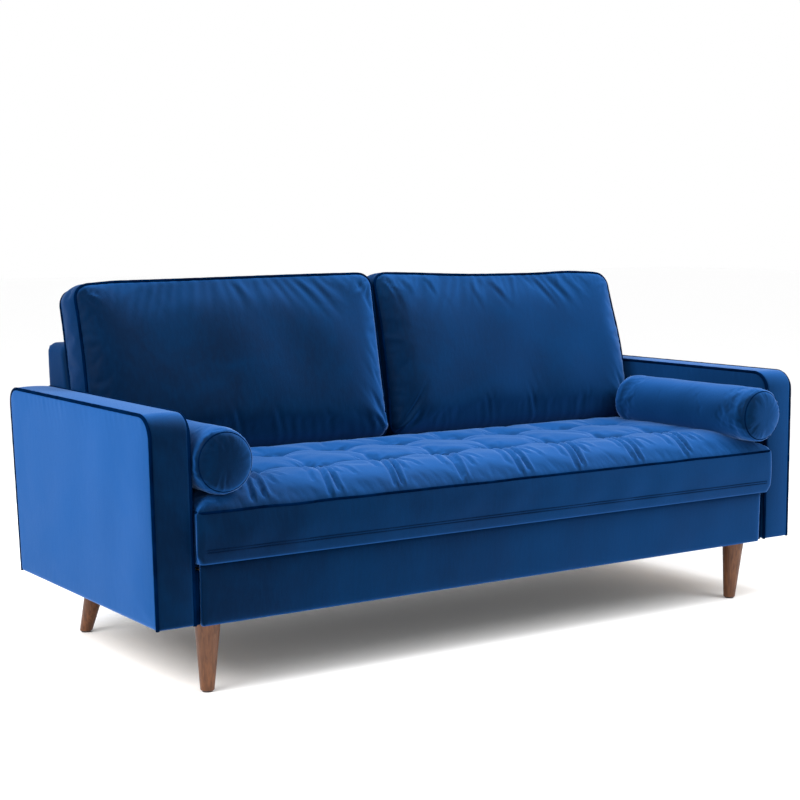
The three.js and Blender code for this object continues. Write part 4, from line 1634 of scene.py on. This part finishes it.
@dataclass
class BackCushion:
    """One loose back cushion, leaning on the back.

    Attributes:
        place: left or right.
        height: Its height, up its slope.
        boxing: Width of its gusset.
        corner: Radius of its corners.
        lean: How far it leans back, in degrees.
        rise: How far its front stands out from its welt.
        welt_radius: Radius of its welts.
        cell: Spacing of the mesh.
        filling: How it is filled.
    """

    place: str
    height: float = 0.440
    boxing: float = 0.092
    corner: float = 0.038
    lean: float = 11.5
    rise: float = 0.030
    welt_radius: float = 0.0036
    cell: float = 0.0062
    filling: Filling = Filling(pressure=3.0, slack=0.007, cap=0.012, frames=16)

    def build(self) -> None:
        """Makes the cushion, fills it, and sews welts round its front and rear."""
        node = f"back_cushion_{self.place}"
        self.low, self.high = lower(node), upper(node)
        self.side = -1 if self.place == "left" else 1
        self.width = (self.high - self.low)[0]
        slope = math.radians(self.lean)
        self.up = np.array([0.0, math.sin(slope), math.cos(slope)])
        self.out = np.array([0.0, -math.cos(slope), math.sin(slope)])
        foot_y = self.high[1] - self.height * math.sin(slope)
        foot = np.array([(self.low + self.high)[0] / 2, foot_y, self.low[2]])
        self.centre = foot + self.up * (self.height / 2) + self.out * (self.boxing / 2)
        half = (self.width / 2 - 0.001, self.height / 2, self.boxing / 2 - 0.001)
        block = SoftBox(half, self.corner, edge=0.003, cell=self.cell)
        u, v, w = self.shaped(block)
        piece = Surface(self.placed(u, v, w), block.skin.faces).make(f"back_cushion_{self.place}_cover")
        VELVET.dress(piece)
        # Painted shade: the gussets take the darker copy of the velvet.
        SHADED_VELVET_COPY.dress_faces(piece, block.skin.walls())
        rear = block.on_face & (block.skin.c < 0)
        blow_up(piece, block.seam | rear, self.filling)
        settle(piece, node, (node,))
        flat = outline_path(half[:2], self.corner, SEAM_STEP)
        for level, label in ((1, "front"), (-1, "rear")):
            seam = self.bent(flat[:, 0], flat[:, 1], np.full(len(flat), level * half[2]))
            welt_along(f"{node}_welt_{label}", self.placed(*seam), self.welt_radius, True, node)

    def placed(self, u: Array, v: Array, w: Array) -> Array:
        """Turns local coordinates, across, up and out, into points in the sofa's frame."""
        return (self.centre[None, :] + u[:, None] * np.array([1.0, 0, 0])
                + v[:, None] * self.up + w[:, None] * self.out)

    def bent(self, u: Array, v: Array, w: Array) -> tuple[Array, Array, Array]:
        """Bends the whole cushion: its top sways, its sides pull in, and its upper outer corner droops.

        Args:
            u: Across.
            v: Up.
            w: Out.

        Returns:
            The bent coordinates.
        """
        su, sv = u / (self.width / 2), v / (self.height / 2)
        outer = su * self.side
        upper_share = smoothstep(-0.2, 1.0, sv)
        if self.place == "left":
            sway = 0.010 * smoothstep(-1.0, 1.0, su) - 0.006 * (1 - smoothstep(-1.0, -0.7, su))
            tuck = 0.004 * upper_share
        else:
            sway = 0.010 * (1 - smoothstep(-1.0, -0.1, su)) + 0.004 * np.exp(-((su - 0.6) / 0.2) ** 2)
            tuck = 0.026 * upper_share * smoothstep(0.3, 1.0, outer)
            sway = sway - 0.004 * smoothstep(0.8, 1.0, su)
        pull = 0.006 * (1 - sv ** 2) * np.abs(su) ** 3
        u = u - np.sign(u) * pull - self.side * tuck * smoothstep(0.2, 1.0, outer)
        v = v + sway * upper_share
        w = w + np.where(w > 0, 0.010 * (1 - sv ** 2), 0.0) * w / (self.boxing / 2)
        return u, v, w

    def shaped(self, block: SoftBox) -> tuple[Array, Array, Array]:
        """Puffs the front panel and the gusset out and folds the velvet.

        Args:
            block: The cushion's block.

        Returns:
            The new coordinates across, up and out.
        """
        u, v, w = block.u, block.v, block.w
        front = block.on_face & (block.skin.c > 0)
        sv = v / (self.height / 2)
        belly = 1.0 - 0.62 * np.clip(sv, -1, 1)
        share = 0.70 * puff(block.inset, reach=0.045) + 0.30 * puff(block.inset, reach=0.16)
        lift = self.rise * share * belly
        seed = 100 if self.place == "left" else 200
        along = np.where(np.abs(block.nv) > np.abs(block.nu), u, v)
        lift = lift + gathers(along, block.inset, size=0.015, reach=0.04, height=0.0016, seed=seed)
        lift = lift + self._folds(u, v) * smoothstep(0.004, 0.02, block.inset)
        lift = lift + 0.0022 * ripples(u, v, seed + 3, size=0.17) * smoothstep(0.02, 0.1, block.inset)
        u, v, w = self.bent(u, v, w)
        w = w + np.where(front, lift, 0)
        push = block.wall_share() * (0.005 + 0.0008 * ripples(u + v, w, seed + 5, size=0.04))
        return u + block.nu * push, v + block.nv * push, w

    def _folds(self, u: Array, v: Array) -> Array:
        """Slanting folds hung from the top seam and short ones round the corners.

        Args:
            u: Across.
            v: Up.

        Returns:
            The change of height.
        """
        draw = np.random.default_rng(5 if self.place == "left" else 6)
        top = self.height / 2
        clusters = ((0.86, 3), (0.4, 2), (-0.05, 2), (-0.55, 2)) if self.place == "left" else (
            (-0.86, 4), (-0.66, 3), (-0.25, 3), (-0.12, 2), (0.28, 4), (0.42, 3))
        total = np.zeros_like(u)
        for share, count in clusters:
            for _ in range(count):
                start = (share * self.width / 2 + draw.uniform(-0.03, 0.03), top - draw.uniform(0.002, 0.012))
                length = draw.uniform(0.07, 0.14)
                depth = draw.uniform(0.0010, 0.0020) * (0.8 if self.place == "left" else 1.0)
                total += crease(u, v, start, draw.uniform(-66, -48), length, width=0.0085, depth=depth,
                                bend=draw.uniform(-0.015, 0.0), tail=0.4)
        for su in (-1, 1):
            for sv in (-1, 1):
                middle = math.degrees(math.atan2(-sv, -su))
                for _ in range(6):
                    turn = middle + draw.uniform(-38, 38)
                    start = (su * (self.width / 2 - 0.014), sv * (top - 0.014))
                    total += crease(u, v, start, turn, length=draw.uniform(0.05, 0.09), width=0.0055,
                                    depth=draw.uniform(0.0008, 0.0018))
        return total


@dataclass
class Bolster:
    """One round bolster with gathered end discs.

    Attributes:
        place: left or right.
        radius: Its radius.
        end_radius: Radius of the seam round its end discs.
        bulge: How far the end discs stand out.
        cord_radius: Radius of the cord in its end seams.
        cell: Spacing of the mesh along it.
        disc_cells: How many cells there are across an end disc.
        filling: How it is filled.
    """

    place: str
    radius: float = 0.073
    end_radius: float = 0.0655
    bulge: float = 0.013
    cord_radius: float = 0.0015
    cell: float = 0.0046
    disc_cells: int = 28
    filling: Filling = Filling(pressure=3.0, slack=0.006, cap=0.003, frames=12)

    def build(self) -> None:
        """Makes the bolster from a block with a circular outline, fills it and pipes its end seams."""
        node = f"bolster_{self.place}"
        low, high = lower(node), upper(node)
        self.centre = (low + high) / 2
        self.centre[2] = high[2] - self.radius
        half_length = (high - low)[1] / 2 - 0.012
        r = self.radius
        skin = Lattice((self.disc_cells, self.disc_cells, 2 * int(half_length / self.cell)))
        u, v = rounded(skin.a, skin.b, (r, r), r)
        ring = np.hypot(u, v) / r
        turn = np.arctan2(v, u)
        face = np.abs(skin.c) > ON_END
        from_end = (1 - np.abs(skin.c)) * half_length
        seed = 300 if self.place == "left" else 400
        body = self.end_radius + (r - self.end_radius) * puff(from_end, reach=0.03)
        body = body + gathers(turn * r, from_end, size=0.009, reach=0.03, height=0.0023, seed=seed)
        dents = 0.0012 * ripples(turn * r, skin.c * half_length, seed + 2, size=0.12)
        body = body + dents * smoothstep(0, 0.03, from_end)
        reach = np.where(face, ring * self.end_radius, body)
        inset = (1 - ring) * self.end_radius
        dome = self.bulge * puff(inset, reach=0.045)
        dome = dome + gathers(turn * 0.06, inset, size=0.0075, reach=0.02, height=0.0026, seed=seed + 4)
        length = np.sign(skin.c) * np.where(face, half_length + dome, np.abs(skin.c) * half_length)
        x = self.centre[0] + reach * np.cos(turn)
        z = self.centre[2] + reach * np.sin(turn)
        y = self.centre[1] - length
        piece = Surface(np.stack([x, y, z], axis=1), skin.faces).make(f"bolster_{self.place}_cover")
        VELVET.dress(piece)
        seam = face & (skin.rim() > ON_END)
        blow_up(piece, seam, self.filling)
        settle(piece, node, (node,))
        flat = arc(self.centre[[0, 2]], self.end_radius, np.linspace(0, 2 * math.pi, 72, endpoint=False))
        for end, label in ((1, "front"), (-1, "rear")):
            depth = np.full(len(flat), self.centre[1] - end * half_length)
            path = np.stack([flat[:, 0], depth, flat[:, 1]], axis=1)
            welt_along(f"{node}_welt_{label}", path, self.cord_radius, True, node)


@dataclass
class Sofa:
    """The whole sofa, in the order in which its parts are made."""

    def build(self) -> None:
        """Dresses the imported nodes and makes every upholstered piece."""
        dress_nodes()
        for place in ("left", "right"):
            Arm(place).build()
        Back().build()
        FrontRail().build()
        for place in ("front_left", "front_right", "rear_left", "rear_right"):
            Leg(place).build()
        Bench().build()
        for place in ("left", "right"):
            BackCushion(place).build()
            Bolster(place).build()


# ---------------------------------------------------------------- studio
@dataclass
class Studio:
    """Camera, floor and lights.

    Attributes:
        eye: Place of the camera, in metres.
        yaw: Degrees the camera is turned towards +X from looking along +Y.
        pitch: Degrees it looks down.
        lens: Focal length, in millimetres, on a sensor 36 mm wide.
        rise: Vertical shift of the picture, as a share of its width.
        floor_half: Half the floor's side, in metres.
    """

    eye: tuple[float, float, float] = (-2.445, -3.431, 1.024)
    yaw: float = 34.466
    pitch: float = 10.598
    lens: float = 72.0
    rise: float = 0.162
    floor_half: float = 30.0

    def camera(self) -> None:
        """Makes the camera and sets it as the scene's."""
        data = bpy.data.cameras.new("camera")
        data.lens, data.sensor_width, data.shift_y = self.lens, 36.0, self.rise
        camera = bpy.data.objects.new("camera", data)
        camera.location = self.eye
        camera.rotation_euler = (math.radians(90 - self.pitch), 0, math.radians(-self.yaw))
        bpy.context.scene.collection.objects.link(camera)
        bpy.context.scene.camera = camera

    def floor(self) -> None:
        """Lays a wide pale floor."""
        corners = self.floor_half * np.array([[-1, -1, 0], [1, -1, 0], [1, 1, 0], [-1, 1, 0]], float)
        floor = Surface(corners, np.array([[0, 1, 2, 3]])).make("floor")
        made = bpy.data.materials.new("pale_floor")
        made.use_nodes = True
        shader = made.node_tree.nodes["Principled BSDF"]
        shader.inputs["Base Color"].default_value = (0.985, 0.985, 0.985, 1)
        shader.inputs["Roughness"].default_value = 0.9
        floor.data.materials.append(made)

    def light(self, name: str, place: tuple, aim: tuple, size: float, power: float) -> None:
        """Adds a soft square light.

        Args:
            name: Name of the light.
            place: Where it hangs.
            aim: The point it faces.
            size: Side of the square, in metres.
            power: Power, in watts.
        """
        data = bpy.data.lights.new(name, "AREA")
        data.size, data.energy = size, power
        lamp = bpy.data.objects.new(name, data)
        lamp.location = place
        lamp.visible_camera = False
        lamp.rotation_euler = (Vector(aim) - Vector(place)).to_track_quat("-Z", "Y").to_euler()
        bpy.context.scene.collection.objects.link(lamp)

    def build(self) -> None:
        """Sets up everything that isn't the sofa."""
        scene = bpy.context.scene
        scene.view_settings.view_transform = "Standard"
        world = bpy.data.worlds.new("studio")
        world.use_nodes = True
        world.node_tree.nodes["Background"].inputs["Color"].default_value = (1, 1, 1, 1)
        world.node_tree.nodes["Background"].inputs["Strength"].default_value = 1.0
        scene.world = world
        self.camera()
        self.floor()
        self.light("key", place=(-2.9, -0.5, 2.2), aim=(-0.9, 0, 0.45), size=1.8, power=140)
        self.light("fill", place=(1.5, -1.9, 2.0), aim=(0.5, 0, 0.8), size=1.2, power=30)
        self.light("overhead", place=(0.35, -0.4, 2.05), aim=(0.3, 0.15, 0.75), size=1.7, power=42)


def main() -> None:
    """Builds the sofa and its studio."""
    logging.basicConfig(level=logging.INFO, format="%(name)s: %(message)s")
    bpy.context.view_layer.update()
    Studio().build()
    Sofa().build()


if __name__ == "__main__":
    main()
